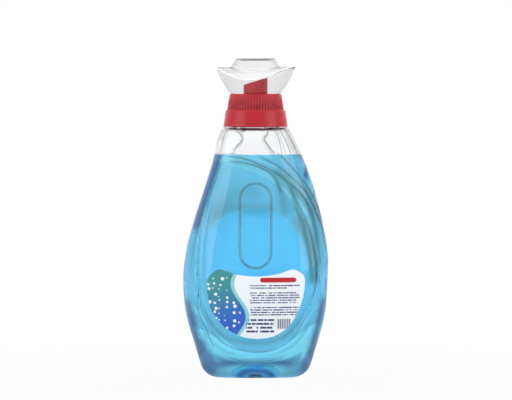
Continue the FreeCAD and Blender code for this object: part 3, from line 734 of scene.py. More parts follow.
@dataclass
class BodyForm:
    """Form of the blown body: its levels, its sunk panels, its folds, and the shade painted on its wall.
    """

    heights: tuple[float, ...] = (0.0, 26.0, 52.5, 82.0, 110.0, 138.0, 165.0, 191.7, 206.0, 216.5)
    lefts: tuple[float, ...] = (44.4, 52.3, 60.0, 63.0, 60.4, 53.0, 44.2, 36.2, 33.2, 28.6)
    rights: tuple[float, ...] = (44.4, 52.8, 60.0, 62.6, 62.7, 57.6, 50.7, 40.6, 34.0, 28.8)
    depths: tuple[float, ...] = (29.5, 33.1, 36.2, 37.8, 37.3, 35.4, 32.0, 28.2, 26.2, 25.2)
    foot_squareness: float = 2.7
    brim_squareness: float = 2.1
    panel_squareness: float = 2.2
    foot_round: float = 10.0
    brim_round: float = 2.0
    panel_corner: Pair = (-49.8, 24.5)
    panel_size: Pair = (102.6, 167.2)
    panel_shares: tuple[Pair, ...] = (
        (0.21, 0.99), (0.46, 0.97), (0.72, 0.88), (0.87, 0.76), (0.97, 0.56), (1.00, 0.40), (0.93, 0.22),
        (0.74, 0.06), (0.50, 0.00), (0.21, 0.07), (0.05, 0.20), (0.00, 0.43), (0.04, 0.68), (0.12, 0.87),
    )
    band_drop: float = 1.2
    floor_drop: float = 2.8
    band_width: float = 5.0
    ramp: float = 2.6
    thin_wall: float = 0.8
    inner_fold_loss: float = 0.75
    fold_foot: float = 12.0
    fold_fade: Pair = (3.0, 14.0)
    fold_ends: float = 0.12
    # Painted shade on the wall: the bands' fading ends, its share on the front, its fades, and the darker
    # foot away from the dome.
    painted_shade_ends: float = 0.15
    front_share: float = 0.35
    seam_fade: Pair = (0.0, 3.0)
    wet_fade: Pair = (194.4, 192.4)
    foot_shade: float = 0.8
    foot_range: Pair = (25.0, 12.0)
    dome_reach: float = 27.0
    dome_fade: Pair = (14.0, 7.0)
    folds: list[Stroke] = field(default_factory=lambda: strokes(FOLDS))
    painted_shade_streaks: list[Stroke] = field(default_factory=lambda: strokes(PAINTED_SHADE_STREAKS))
    outline: Array = field(init=False)

    def __post_init__(self) -> None:
        """Works out the panel's outline."""
        (left, low), (width, height) = self.panel_corner, self.panel_size
        corners = [(left + width * x, low + height * z) for x, z in self.panel_shares]
        self.outline = rounded_line(corners, closed=True)

    @property
    def top(self) -> float:
        """Height of the brim."""
        return self.heights[-1]

    def reach_at(self, side: Array, height: Array) -> Array:
        """Reach of the skin at given heights, towards the side that a sign points at."""
        right = smooth_through(self.heights, self.rights, height)
        return np.where(side > 0, right, smooth_through(self.heights, self.lefts, height))

    def depth_at(self, height: Array) -> Array:
        """Half depth of the skin at given heights."""
        return smooth_through(self.heights, self.depths, height)

    def squareness(self, height: Size) -> Size:
        """Squareness of the ring at a height."""
        return self.foot_squareness + height / self.top * (self.brim_squareness - self.foot_squareness)

    def rounding(self, height: Array) -> Array:
        """How far the edges' rounds draw the skin in at given heights."""
        low = np.clip(self.foot_round - height, 0, self.foot_round)
        high = np.clip(height - self.top + self.brim_round, 0, self.brim_round)
        foot = self.foot_round - np.sqrt(self.foot_round**2 - low**2)
        brim = self.brim_round - np.sqrt(self.brim_round**2 - high**2)
        return foot + brim

    def skin(self, turn: Array, height: float, inset: float) -> Array:
        """Ring of the skin.

        Args:
            turn: Angles round the axis.
            height: Height of the ring before the inset.
            inset: Depth below the outer skin.

        Returns:
            The ring's points.
        """
        heights = np.full_like(turn, height)
        pull = inset + self.rounding(heights)
        reach, depth = self.reach_at(np.cos(turn), heights) - pull, self.depth_at(heights) - pull
        across, back = superellipse(turn, self.squareness(height))
        x = reach * across
        z = heights + inset * (1 - 2 * height / self.top)
        y = self.sunk(x, depth * back, z, reach, depth, inset)
        if self.fold_foot < height < self.top:
            y = self.folded(x, y, z, 1 - self.inner_fold_loss * min(inset / self.thin_wall, 1.0))
        return np.stack([x, y, z], axis=1)

    def sunk(self, x: Array, y: Array, z: Array, reach: Array, depth: Array, inset: float) -> Array:
        """Depth after the panels are sunk into the front and the back."""
        arch = bulge(x, reach, self.panel_squareness)
        gap, _ = distance_to(self.outline, x, z)
        into = np.where(inside_of(self.outline, x, z), gap, -gap) + inset
        size, half = np.abs(y), self.ramp / 2
        for drop, border in ((self.band_drop, 0.0), (self.floor_drop, self.band_width)):
            share = smooth_step(-half, half, into - border)
            size = size + np.minimum((depth - drop) * arch - size, 0) * share
        return np.sign(y) * size

    def folded(self, x: Array, y: Array, z: Array, share: float) -> Array:
        """Depth after the folds are pressed in, less towards the flanks."""
        size = np.abs(y)
        deep = sum(fold.at(x, z, self.fold_ends) for fold in self.folds)
        return np.sign(y) * (size - share * deep * smooth_step(*self.fold_fade, size))

    def floor_depth(self, x: Array, z: Array) -> Array:
        """Half depth of the panel's floor at given places."""
        pull = self.rounding(z)
        arch = bulge(x, self.reach_at(x, z) - pull, self.panel_squareness)
        return (self.depth_at(z) - pull - self.floor_drop) * arch

    def face_depth(self, x: Array, z: Array) -> Array:
        """Half depth of the finished skin at given places of a face."""
        pull = self.rounding(z)
        reach, depth = self.reach_at(x, z) - pull, self.depth_at(z) - pull
        size = depth * bulge(x, reach, self.squareness(z))
        return self.folded(x, self.sunk(x, size, z, reach, depth, 0.0), z, 1.0)

    def outwards(self, x: Array, z: Array, reach: float = 0.8) -> Array:
        """Directions straight out of the back skin at given places."""
        slope = self.face_depth(x - reach, z) - self.face_depth(x + reach, z)
        rise = self.face_depth(x, z - reach) - self.face_depth(x, z + reach)
        ways = np.stack([slope / (2 * reach), np.full_like(x, -1.0), rise / (2 * reach)], axis=1)
        return ways / np.linalg.norm(ways, axis=1)[:, None]

    def tone(self, points: Array) -> Array:
        """Painted shade of the wall at given points: how grey, below 0 how blue, and less on the front."""
        x, y, z = points.T
        grey = sum(shade_stroke.at(x, z, self.painted_shade_ends) for shade_stroke in self.painted_shade_streaks)
        off_dome = 1 - np.exp(-((x / self.dome_reach) ** 2)) * smooth_step(*self.dome_fade, z)
        grey = grey - self.foot_shade * smooth_step(*self.foot_range, z) * off_dome
        grey = np.where(grey < 0, grey * smooth_step(*self.wet_fade, z), grey)
        facing = np.where(y < 0, 1.0, self.front_share)
        return np.clip(grey, -1.0, 1.0) * facing * smooth_step(*self.seam_fade, np.abs(y))


@dataclass(frozen=True)
class Thread:
    """Screw thread that winds up a wall."""

    low: float
    depth: float
    lead: float = 6.0
    turns: float = 1.25
    flank: Pair = (0.5, 1.1)
    run_out: float = 0.06

    def relief(self, turn: Array, height: float) -> Array:
        """How far the thread stands out of the wall round one height."""
        start = self.low + self.lead * turn / TURN
        laps = np.clip(np.round((height - start) / self.lead), 0, 1)
        away = np.abs(height - start - laps * self.lead)
        lap = turn / TURN + laps
        fade = smooth_step(0.0, self.run_out, lap) * smooth_step(0.0, self.run_out, self.turns - lap)
        return self.depth * (1 - smooth_step(*self.flank, away)) * fade


@dataclass
class Bottle:
    """Blown bottle with its neck, and the detergent in it."""

    form: BodyForm = field(default_factory=BodyForm)
    wall: float = 0.9
    fill_height: float = 193.1
    film: float = 0.06
    push_up: Triple = (29.0, 15.5, 10.0)
    dome_steps: int = 18
    foot_steps: int = 9
    brim_steps: int = 6
    loop_width: float = 27.0
    loop_low: float = 95.8
    loop_high: float = 168.4
    bead_width: float = 2.1
    bead_height: float = 1.1
    bead_steps: int = 240
    bead_sides: int = 12
    neck_radius: float = 20.5
    neck_bore: float = 19.0
    neck_top: float = 236.5
    ring_reach: float = 3.0
    ring_low: float = 217.5
    ring_high: float = 219.0
    edge: float = 0.3
    thread: Thread = Thread(225.0, 1.4)
    thread_step: float = 0.4
    ridge_pitch: float = 1.1
    ridge_sides: int = 8
    turns: int = 216
    step: float = 1.3

    @property
    def turn(self) -> Array:
        """Angles of the rings' points."""
        return around(self.turns)

    def dome(self, share: float, inset: float) -> Array:
        """Ring of the dome under the foot, from its centre out to its edge."""
        reach, depth, rise = (size + inset for size in self.push_up)
        across, back = superellipse(self.turn, 2.0)
        size = math.sin(share * math.pi / 2)
        height = rise * math.cos(share * math.pi / 2)
        return np.stack([reach * size * across, depth * size * back, np.full_like(across, height)], axis=1)

    def foot(self, inset: float) -> list[Array]:
        """Rings from the dome's centre out to the edge of the foot."""
        dome = [self.dome(share, inset) for share in np.linspace(0.0, 0.97, self.dome_steps)]
        rim, edge = self.dome(0.985, inset), self.form.skin(self.turn, 0.0, inset)
        return dome + [(1 - share) * rim + share * edge for share in (0.12, 0.35, 0.65)]

    def flank_heights(self) -> list[float]:
        """Heights of the body's rings, closer together on the rounds."""
        foot, brim = self.form.foot_round, self.form.brim_round
        top = self.form.top - brim
        low = [foot * (1 - math.cos(a)) for a in np.linspace(0, math.pi / 2, self.foot_steps)]
        middle = list(np.linspace(foot, top, round((top - foot) / self.step)))[1:]
        high = [top + brim * math.sin(a) for a in np.linspace(0, math.pi / 2, self.brim_steps)][1:]
        return low + middle + high

    def neck(self) -> list[Array]:
        """Rings from the brim up the threaded neck and down its bore."""
        turn, radius, bore, edge = self.turn, self.neck_radius, self.neck_bore, self.edge
        brim, top, low, high = self.form.top, self.neck_top, self.ring_low, self.ring_high
        out = radius + self.ring_reach
        fall = [(radius + 0.6, brim), (radius, brim + 0.5)]
        support = [(radius, low), (out, low + edge), (out, high - edge), (radius + edge, high)]
        climb = np.arange(high + self.thread_step, top - 0.5, self.thread_step)
        land = [(radius, top - edge), (radius - edge, top), (bore + edge, top), (bore, top - edge)]
        hole = [(bore, height) for height in np.linspace(top - 2, brim + 0.5, 5)]
        threaded = [ring(turn, radius + self.thread.relief(turn, height), height) for height in climb]
        return rings(turn, fall + support) + threaded + rings(turn, land + hole)

    def build_shell(self) -> Thing:
        """Builds the whole blown shell as one closed mesh."""
        heights = self.flank_heights()
        outer = [self.form.skin(self.turn, height, 0.0) for height in heights]
        inner = [self.form.skin(self.turn, height, self.wall) for height in reversed(heights)]
        foot = self.foot(0.0)
        rest = self.neck() + inner + self.foot(self.wall)[::-1]
        # Only the outer flanks carry the painted shade.
        painted_light_levels = [0.0] * len(foot) + [self.form.tone(points) for points in outer] + [0.0] * len(rest)
        return wrapped_mesh("bottle_shell", foot + outer + rest, painted_light_levels)

    def build_liquid(self) -> Thing:
        """Builds the detergent up to the fill line, wetting the wall."""
        inset, surface = self.wall - self.film, self.fill_height
        heights = [height for height in self.flank_heights() if height < surface - 0.6]
        skins = [self.form.skin(self.turn, height, inset) for height in heights]
        level = self.form.skin(self.turn, surface, inset)
        level[:, 2] = surface
        top = [level * (share, share, 1.0) for share in (1.0, 0.985, 0.9, 0.7, 0.45, 0.2, 0.0)]
        return sharpened(wrapped_mesh("detergent_fill", self.foot(inset) + skins + top), 50.0)

    def build_bead(self) -> Thing:
        """Builds the raised bead of the grip loop on the back panel."""
        half = self.loop_width / 2
        bend = np.linspace(0.0, math.pi, 49)
        ends = ((self.loop_high - half, bend), (self.loop_low + half, bend + math.pi))
        arcs = [np.stack([half * np.cos(a), middle + half * np.sin(a)], axis=1) for middle, a in ends]
        path = np.vstack(arcs)
        x, z = (values[:-1] for values in spaced(np.vstack([path, path[:1]]), self.bead_steps))
        along = np.stack([np.roll(x, -1) - np.roll(x, 1), np.roll(z, -1) - np.roll(z, 1)], axis=1)
        side = np.arange(self.bead_sides + 1)[:, None] * TURN / self.bead_sides
        across, up = beside(x, z, along, self.bead_width / 2 * np.cos(side))
        back = -self.form.floor_depth(across, up) - self.bead_height * np.sin(side)
        places = np.stack([across, back, up], axis=-1)
        bm = bmesh.new()
        lay_grid(bm, np.concatenate([places, places[:, :1]], axis=1))
        return welded("grip_loop_bead", bm)

    def build_ridges(self) -> Thing:
        """Builds the fine raised lines of the swoosh, the neck and the foot."""
        bm = bmesh.new()
        for ridge in strokes(RAISED_LINES):
            lay_grid(bm, self.ridge_places(ridge))
        return welded("relief_lines", bm)

    def ridge_places(self, ridge: Stroke) -> Array:
        """Points of one raised line, half sunk in the skin and pointed at its ends."""
        line = rounded_line(ridge.points, closed=False)
        steps = round(way_along(line)[-1] / self.ridge_pitch)
        x, z = spaced(line, steps)
        taper = np.sqrt(np.sin(np.pi * np.linspace(0.0, 1.0, steps + 1)).clip(0.0, 1.0))
        side = np.arange(self.ridge_sides + 1)[:, None] * TURN / self.ridge_sides
        along = np.stack([np.gradient(x), np.gradient(z)], axis=1)
        across, up = beside(x, z, along, ridge.width / 2 * taper * np.cos(side))
        depth = self.form.face_depth(across.ravel(), up.ravel()).reshape(across.shape)
        height = (ridge.strength * taper * np.sin(side))[..., None]
        return np.stack([across, -depth, up], axis=-1) + self.form.outwards(x, z) * height


def beside(x: Array, z: Array, along: Array, aside: Array) -> tuple[Array, Array]:
    """Places to the side of a line.

    Args:
        x: Places of the line across.
        z: Places of the line up.
        along: The line's direction at each place.
        aside: How far to the side.

    Returns:
        The new places across and up.
    """
    along = along / np.linalg.norm(along, axis=1)[:, None]
    return x + along[:, 1] * aside, z - along[:, 0] * aside


# ------------------------------------------------------------------- labels
BACK_OUTLINE = (
    (-0.80, 1.00), (-0.40, 0.935), (0.00, 0.905), (0.45, 0.94), (0.80, 1.00), (0.97, 0.92),
    (0.985, 0.69), (0.88, 0.43), (0.67, 0.18), (0.38, 0.04), (0.05, 0.00), (-0.30, 0.03),
    (-0.62, 0.15), (-0.87, 0.35), (-1.00, 0.64), (-0.97, 0.90),
)
FRONT_OUTLINE = (
    (-1.00, 0.45), (-0.80, 0.86), (-0.25, 1.00), (0.35, 0.97), (0.80, 0.75), (1.00, 0.45),
    (0.70, 0.15), (0.00, 0.00), (-0.70, 0.15),
)


@dataclass(frozen=True)
class LabelFilm:
    """Printed film on one of the panels, cut from its outline into a fine grid."""

    name: str
    side: Side
    centre: float
    reach: float
    base: float
    length: float
    outline: tuple[Pair, ...]
    lift: float = 0.15
    thickness: float = 0.2
    cut: float = 3.0
    cut_across: Pair = (-60, 60)
    cut_up: Pair = (20, 160)

    def build(self, form: BodyForm) -> Thing:
        """Builds the film on the panel's floor."""
        corners = [(self.centre + self.reach * x, self.base + self.length * z) for x, z in self.outline]
        edge = rounded_line(corners, closed=True, finer=16)
        bm = bmesh.new()
        verts = [bm.verts.new((x, 0.0, z)) for x, z in edge[:-1]]
        rim = [bm.edges.new(ends) for ends in zip(verts, verts[1:] + verts[:1])]
        bmesh.ops.contextual_create(bm, geom=rim)
        cuts = [((x, 0, 0), (1, 0, 0)) for x in np.arange(*self.cut_across, self.cut)]
        cuts += [((0, 0, z), (0, 0, 1)) for z in np.arange(*self.cut_up, self.cut)]
        for spot, normal in cuts:
            everything = bm.verts[:] + bm.edges[:] + bm.faces[:]
            bmesh.ops.bisect_plane(bm, geom=everything, plane_co=spot, plane_no=normal)
        x, _, z = np.array([vert.co for vert in bm.verts]).T
        for vert, size in zip(bm.verts, form.floor_depth(x, z) + self.lift):
            vert.co.y = self.side.value * size
        outer = bmesh.ops.extrude_face_region(bm, geom=bm.faces[:])["geom"]
        for vert in [item for item in outer if isinstance(item, bmesh.types.BMVert)]:
            vert.co.y += self.side.value * self.thickness
        bmesh.ops.scale(bm, vec=Vector((MM, MM, MM)), verts=bm.verts)
        bmesh.ops.recalc_face_normals(bm, faces=bm.faces)
        return sharpened(finished(self.name, bm), 40.0)


# -------------------------------------------------------------- the closure
# Corners of profiles, each as radius, height and the steps that lead to it.
SKIRT = (
    (27.0, 217.0, 0), (27.7, 217.0, 1), (28.0, 217.3, 2), (25.95, 230.9, 7), (25.6, 231.35, 3),
    (24.75, 231.65, 2), (24.6, 231.9, 1),
)
GRIP = ((24.6, 231.9, 0), (22.45, 244.9, 22), (22.1, 245.3, 2), (21.7, 245.4, 1))
SEAT = (
    (21.7, 245.4, 0), (21.3, 245.2, 1), (21.2, 244.8, 1), (21.2, 239.9, 3), (20.9, 239.6, 1),
    (15.4, 239.6, 3), (15.0, 239.3, 1), (15.0, 238.5, 1), (15.3, 238.2, 1), (21.8, 238.2, 3),
    (22.0, 238.0, 1), (22.0, 236.3, 1), (21.2, 236.3, 1), (21.2, 235.6, 1), (22.3, 234.9, 1),
)
SCREW_WALL = ((22.3, 234.9, 0), (22.3, 219.8, 36))
SKIRT_BACK = (
    (22.3, 219.8, 0), (23.5, 219.8, 1), (23.5, 230.2, 4), (24.54, 230.2, 1), (26.6, 217.4, 5),
    (27.0, 217.0, 1),
)
PLUG = (
    (9.3, 226.7, 0), (9.5, 226.5, 1), (18.3, 226.5, 4), (18.9, 227.2, 1), (18.9, 236.5, 4),
    (21.5, 236.5, 1), (21.7, 236.7, 1), (21.7, 237.8, 1), (21.5, 238.0, 1), (18.0, 238.0, 2),
    (17.7, 237.7, 1), (17.7, 228.6, 4), (17.2, 228.1, 1), (11.0, 229.4, 3), (10.5, 230.0, 1),
)


@dataclass
class Closure:
    """Ribbed screw collar with its plain skirt, deck and threaded wall."""

    grip_foot: float = 231.9
    grip_top: float = 245.4
    grooves: int = 60
    groove_depth: float = 0.62
    groove_sides: Pair = (0.16, 0.42)
    groove_fade: float = 0.86
    groove_start: Pair = (-0.02, 0.03)
    per_groove: int = 10
    thread: Thread = Thread(222.0, 1.3)

    def build(self) -> Thing:
        """Builds the collar as one closed ring of rows."""
        turn = around(self.grooves * self.per_groove)
        rows = rings(turn, stepped(SKIRT)[:-1])
        rows += [self.grip_ring(turn, radius, height) for radius, height in stepped(GRIP)[:-1]]
        rows += rings(turn, stepped(SEAT)[:-1])
        for radius, height in stepped(SCREW_WALL)[:-1]:
            rows.append(ring(turn, radius - self.thread.relief(turn, height), height))
        rows += rings(turn, stepped(SKIRT_BACK))
        return sharpened(wrapped_mesh("closure_ribbed", rows), 38.0)

    def grip_ring(self, turn: Array, radius: float, height: float) -> Array:
        """Ring of the ribbed band, with round grooves that fade upwards."""
        share = (height - self.grip_foot) / (self.grip_top - self.grip_foot)
        phase = (turn * self.grooves / TURN) % 1.0
        hollow = 1 - smooth_step(*self.groove_sides, np.abs(phase - 0.5))
        depth = self.groove_depth * (1 - self.groove_fade * smooth_step(0.0, 1.0, share))
        return ring(turn, radius - depth * smooth_step(*self.groove_start, share) * hollow, height)


@dataclass
class PourSpout:
    """Neck plug with its drain-back well and slanted spout."""

    radius: float = 10.5
    bore: float = 9.3
    low_lip: float = 253.6
    high_lip: float = 259.8
    root: float = 226.7
    lip: tuple[Pair, ...] = ((10.35, 1.0), (9.9, 1.004), (9.45, 1.0))
    turns: int = 160

    def build(self) -> Thing:
        """Builds the spout insert as one closed ring of rows."""
        turn = around(self.turns)
        tube = [(self.radius, share) for share in np.linspace(0.04, 0.985, 14)]
        inside = [(self.bore, share) for share in np.linspace(0.985, 0.0, 16)]
        slanted = [self.slanted_ring(turn, radius, share) for radius, share in [*tube, *self.lip, *inside]]
        return sharpened(wrapped_mesh("pour_spout_red", rings(turn, stepped(PLUG)) + slanted), 40.0)

    def slanted_ring(self, turn: Array, radius: float, share: float) -> Array:
        """Ring of the tube: level at its root and slanted at its lip."""
        x = radius * np.cos(turn)
        lip = self.low_lip + (self.high_lip - self.low_lip) * (x + self.radius) / (2 * self.radius)
        return ring(turn, radius, self.root + (lip - self.root) * share)


# ---------------------------------------------------------- the dosing ball
@dataclass
class DosingBall:
    """Clear dosing ball: a bowl cut by a saddle, with a boss on its top."""

    wall: float = 1.2
    foot: float = 239.9
    mouth: float = 245.4
    neck_radius: float = 20.9
    neck_steps: int = 5
    bowl_heights: tuple[float, ...] = (245.4, 255.4, 269.4, 276.4)
    bowl_radii: tuple[float, ...] = (21.4, 28.2, 34.6, 37.3)
    wing_top: float = 276.0
    twist: float = math.radians(-11.5)
    saddle_top: float = 269.2
    saddle_reach: float = 29.8
    saddle_rise: float = 14.9
    boss_radius: float = 17.0
    boss_root: float = 21.4
    boss_top: float = 276.6
    # White beads that paint highlight lines along the crease and round the boss.
    edge_size: float = 0.5
    edge_fade: Pair = (35.8, 33.5)
    rim_size: float = 0.4
    edge_sides: int = 10
    turns: int = 192
    bowl_shares: tuple[float, ...] = (*np.linspace(0.0, 0.9, 24), 0.93, 0.955, 0.975, 0.99, 1.0)
    saddle_shares: tuple[float, ...] = (0.01, 0.03, 0.06, 0.1, 0.16, *np.linspace(0.25, 1.0, 10))
    # Painted highlight: how far each part of the ball's grey tint leads to white.
    bowl_glow: Pair = (0.93, 0.985)
    saddle_glow: Pair = (0.16, 0.0)
    saddle_painted_glow: float = 0.78
    boss_shares: tuple[float, ...] = (0.15, 0.4, 0.7, 0.93, 1.0)
    boss_painted_glow: tuple[float, ...] = (0.8, 0.6, 0.6, 0.6, 0.9)
    crown_edge: tuple[Pair, ...] = ((16.6, -0.1), (16.0, 0.1), (14.5, 0.9))
    crown_floor: tuple[float, ...] = (11.0, 6.0, 2.0, 0.0)
    crown_drop: float = 1.2
    crown_painted_glow: tuple[float, ...] = (0.3, 0.35, 0.5, 0.5, 0.5, 0.5, 0.5)

    @property
    def turn(self) -> Array:
        """Angles of the rings' points."""
        return around(self.turns)

    def bowl_radius(self, height: Array, inset: float) -> Array:
        """Radius of the bowl's wall at given heights."""
        return smooth_through(self.bowl_heights, self.bowl_radii, height) - inset

    def saddle_height(self, x: Array, y: Array, inset: float) -> Array:
        """Height of the saddle over given places."""
        aside = y * math.cos(self.twist) - x * math.sin(self.twist)
        reach, rise = self.saddle_reach - inset, self.saddle_rise - inset
        springing = self.saddle_top - self.saddle_rise
        return springing + rise * np.sqrt(np.maximum(1 - (aside / reach) ** 2, 0.0))

    def crease(self, inset: float, halvings: int = 40) -> tuple[Array, Array]:
        """Radius and height of the crease where the bowl meets the saddle."""
        turn = self.turn
        low, high = np.full_like(turn, self.mouth), np.full_like(turn, self.wing_top)
        for _ in range(halvings):
            height = (low + high) / 2
            radius = self.bowl_radius(height, inset)
            under = height < self.saddle_height(radius * np.cos(turn), radius * np.sin(turn), inset)
            low, high = np.where(under, height, low), np.where(under, high, height)
        return self.bowl_radius(low, inset), low

    def skin(self, inset: float) -> list[Array]:
        """Rings of one skin, from the neck's mouth to the middle of the boss."""
        turn, boss_top = self.turn, self.boss_top - inset
        radius, crest = self.crease(inset)
        neck = np.linspace(self.foot + 0.3, self.mouth - 0.6, self.neck_steps)
        rows = rings(turn, [(self.neck_radius - inset, height) for height in neck])
        for share in self.bowl_shares:
            height = self.mouth + (crest - self.mouth) * share
            rows.append(ring(turn, self.bowl_radius(height, inset), height))
        for share in self.saddle_shares:
            size = radius + (self.boss_root - inset - radius) * share
            over = self.saddle_height(size * np.cos(turn), size * np.sin(turn), inset)
            rows.append(ring(turn, size, over))
        root, top = rows[-1], ring(turn, self.boss_radius - inset, boss_top)
        rows += [root + (top - root) * share for share in self.boss_shares]
        crown = [(size - inset, boss_top - drop) for size, drop in self.crown_edge]
        crown += [(size, boss_top - self.crown_drop) for size in self.crown_floor]
        return rows + rings(turn, crown)

    def painted_glow_rings(self) -> list[float]:
        """Painted highlight of each ring of a skin, leading its tint to white: most along the crease."""
        bowls = [float(smooth_step(*self.bowl_glow, share)) for share in self.bowl_shares]
        glow = [float(smooth_step(*self.saddle_glow, share)) for share in self.saddle_shares]
        saddles = [self.saddle_painted_glow + (1 - self.saddle_painted_glow) * share for share in glow]
        return [0.0] * self.neck_steps + bowls + saddles + [*self.boss_painted_glow, *self.crown_painted_glow]

    def build(self) -> Thing:
        """Builds the ball as one closed wall, open at its neck."""
        lip = rings(self.turn, [(self.neck_radius - 0.3, self.foot), (self.neck_radius - 0.9, self.foot)])
        painted_light_levels = self.painted_glow_rings()
        rows = self.skin(0.0)[::-1] + lip + self.skin(self.wall)
        return sharpened(wrapped_mesh("dosing_ball_clear", rows, painted_light_levels[::-1] + [0.0, 0.0] + painted_light_levels), 130.0)

    def build_highlight_edge(self) -> Thing:
        """Builds the fine white bead along the crease, thin at the wing tips: a painted highlight line."""
        radius, height = self.crease(0.0)
        size = self.edge_size * (0.1 + 0.9 * smooth_step(*self.edge_fade, radius))
        return self.bead("dosing_ball_highlight_edge", radius, height, size)

    def build_highlight_rim(self) -> Thing:
        """Builds the fine white bead round the top of the boss: a painted highlight line."""
        size = self.rim_size
        return self.bead("dosing_ball_highlight_rim", self.boss_radius - size, self.boss_top - size, size)

    def bead(self, name: str, radius: Size, height: Size, size: Size) -> Thing:
        """Closed round bead of a half width, along a line round the axis."""
        return wrapped_mesh(name, [
            ring(self.turn, radius + size * math.cos(side), height + size * math.sin(side))
            for side in around(self.edge_sides)
        ])


# ---------------------------------------------------------------- the studio
@dataclass
class Studio:
    """Plain pale floor, soft lamps, white surround and the camera."""

    frame_width: float = 0.4454
    distance: float = 2.4
    aim: Triple = (0.0004, 0.0, 0.1534)
    elevation: float = math.radians(1.6)
    fill: float = 0.72
    flank_grey: float = 0.6
    white: Triple = (1.0, 1.0, 1.0)
    inner_light: Triple = (5.2, 4.2, 4.0)
    # Painted shade: the floor is darker near the object, and glows blue-grey for rays from inside the
    # detergent.
    floor_painted_shade_near: Triple = (0.45, 0.46, 0.47)
    floor_far: Triple = (0.98, 0.98, 0.98)
    floor_clear: Triple = (0.93, 0.93, 0.93)
    floor_through: Triple = (0.54, 0.68, 0.78)
    clear_faces: int = 4
    bounces: int = 28

    def floor(self) -> None:
        """Pale floor that keeps the object's shadow, fades to white, and holds painted shade near the
        object.
        """
        bm = bmesh.new()
        bmesh.ops.create_grid(bm, x_segments=4, y_segments=4, size=6.0)
        floor = finished("studio_floor", bm, smooth=False)
        graph = Graph.named("pale_floor")
        x, y, _ = graph.place()
        away = (x * x + y * y).math("SQRT")
        far = away.rise(900.0, 4200.0)
        path = graph.add("LightPath").outputs
        through = path["Is Transmission Ray"]
        # Painted shade: rays from inside the detergent see the floor glow blue-grey.
        beyond = graph.blend(self.inside_liquid(graph, path), self.floor_clear, self.floor_through)
        beyond = graph.blend(through, self.white, graph.blend(far, beyond, self.white))
        share = graph.ramp(away.rise(150.0, 450.0), (0.0, 0.95), (1.0, 1.0))
        seen = graph.math("MULTIPLY", path["Is Camera Ray"], share).math("MAXIMUM", through)
        matte = graph.add("BsdfDiffuse", {"Color": graph.blend(far, self.floor_painted_shade_near, self.floor_far)})
        glow = graph.add("Emission", {"Color": beyond})
        floor.data.materials.append(graph.finish(graph.mixed(seen, matte, glow)))

    def inside_liquid(self, graph: Graph, path: Sequence[Socket]) -> Value:
        """1 for rays that crossed more clear faces than the ball or the neck has."""
        return graph.math("GREATER_THAN", path["Transmission Depth"], self.clear_faces + 0.5)

    def surround(self) -> None:
        """White world for the camera, with grey flanks for glass and gloss."""
        world = bpy.data.worlds.new("pale_surround")
        bpy.context.scene.world = world
        graph = Graph(world, "OutputWorld")
        _, y, z = graph.apart(graph.value("TexCoord", {}, "Generated"))
        ahead, height = y.math("ABSOLUTE"), z.math("MULTIPLY_ADD", 0.5, 0.5)
        flanks = graph.ramp(ahead, (0.0, 0.85), (0.45, self.flank_grey), (0.75, 0.85), (0.95, 1.0))
        lifted = graph.ramp(height, (0.505, 1.0), (0.54, 0.95), (0.6, 0.75), (0.7, 0.8), (0.85, 1.0))
        behind = y.math("MULTIPLY_ADD", 0.5, 0.5)
        mirrored = graph.ramp(behind, (0.1, 0.85), (0.3, 0.6), (0.5, 0.5), (0.8, 0.75), (0.9, 1.0))
        path = graph.add("LightPath").outputs
        lit = graph.math("MINIMUM", path["Diffuse Depth"], 1.0) * path["Is Transmission Ray"]
        level = graph.blend(path["Is Glossy Ray"], (self.fill,) * 3, mirrored)
        level = graph.blend(path["Is Transmission Ray"], level, flanks * lifted)
        level = graph.blend(lit * self.inside_liquid(graph, path), level, self.inner_light)
        level = graph.blend(path["Is Camera Ray"], level, self.white)
        graph.finish(graph.add("Background", {"Color": level}))

    def lamp(self, name: str, place: Triple, size: Pair, power: float) -> Thing:
        """Soft oblong lamp that faces the bottle."""
        light = bpy.data.lights.new(name, "AREA")
        light.shape = "RECTANGLE"
        light.size, light.size_y = size
        light.energy = power
        thing = added(name, light)
        thing.location = place
        thing.visible_transmission = False
        aim = Vector((0.0, 0.0, self.aim[2])) - thing.location
        thing.rotation_euler = aim.to_track_quat("-Z", "Y").to_euler()
        return thing

    def camera(self) -> None:
        """Camera on the bottle's back, nearly level."""
        data = bpy.data.cameras.new("camera")
        data.sensor_width = 36.0
        data.lens = data.sensor_width * self.distance / self.frame_width
        data.clip_end = 50.0
        thing = added("camera", data)
        away = Vector((0.0, -math.cos(self.elevation), math.sin(self.elevation))) * self.distance
        thing.location = Vector(self.aim) + away
        thing.rotation_euler = (-away).to_track_quat("-Z", "Y").to_euler()
        bpy.context.scene.camera = thing

    def build(self) -> None:
        """Sets the floor, the surround, the lamps and the camera."""
        self.floor()
        self.surround()
        for name, across in (("left", -1.5), ("right", 1.5)):
            self.lamp(f"{name}_softbox", (across, -0.8, 0.5), (1.2, 1.8), 15.0)
            front = self.lamp(f"{name}_front_softbox", (across * 0.8, 1.2, 0.6), (1.2, 1.6), 13.0)
            front.visible_glossy = False
        self.lamp("overhead", (0.0, -0.1, 1.5), (1.2, 1.2), 8.0)
        self.camera()
        bpy.context.scene.view_settings.view_transform = "Standard"
        paths = bpy.context.scene.cycles
        paths.max_bounces = paths.transmission_bounces = paths.transparent_max_bounces = self.bounces


# --------------------------------------------------------------------- main
def dress(piece: Thing, finish: bpy.types.Material, body: str, slot: str, *nodes: str) -> None:
    """Gives a piece its finish and body, and hides the nodes it stands for.

    Args:
        piece: The finished piece.
        finish: Its material.
        body: Body that it rides on.
        slot: The record's slot for its finish; not used.
        *nodes: CAD nodes that it replaces.
    """
    piece.data.materials.clear()
    piece.data.materials.append(finish)
    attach(piece, body)
    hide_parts(*nodes)
    LOG.info("%s: %d faces on %s", piece.name, len(piece.data.polygons), body)


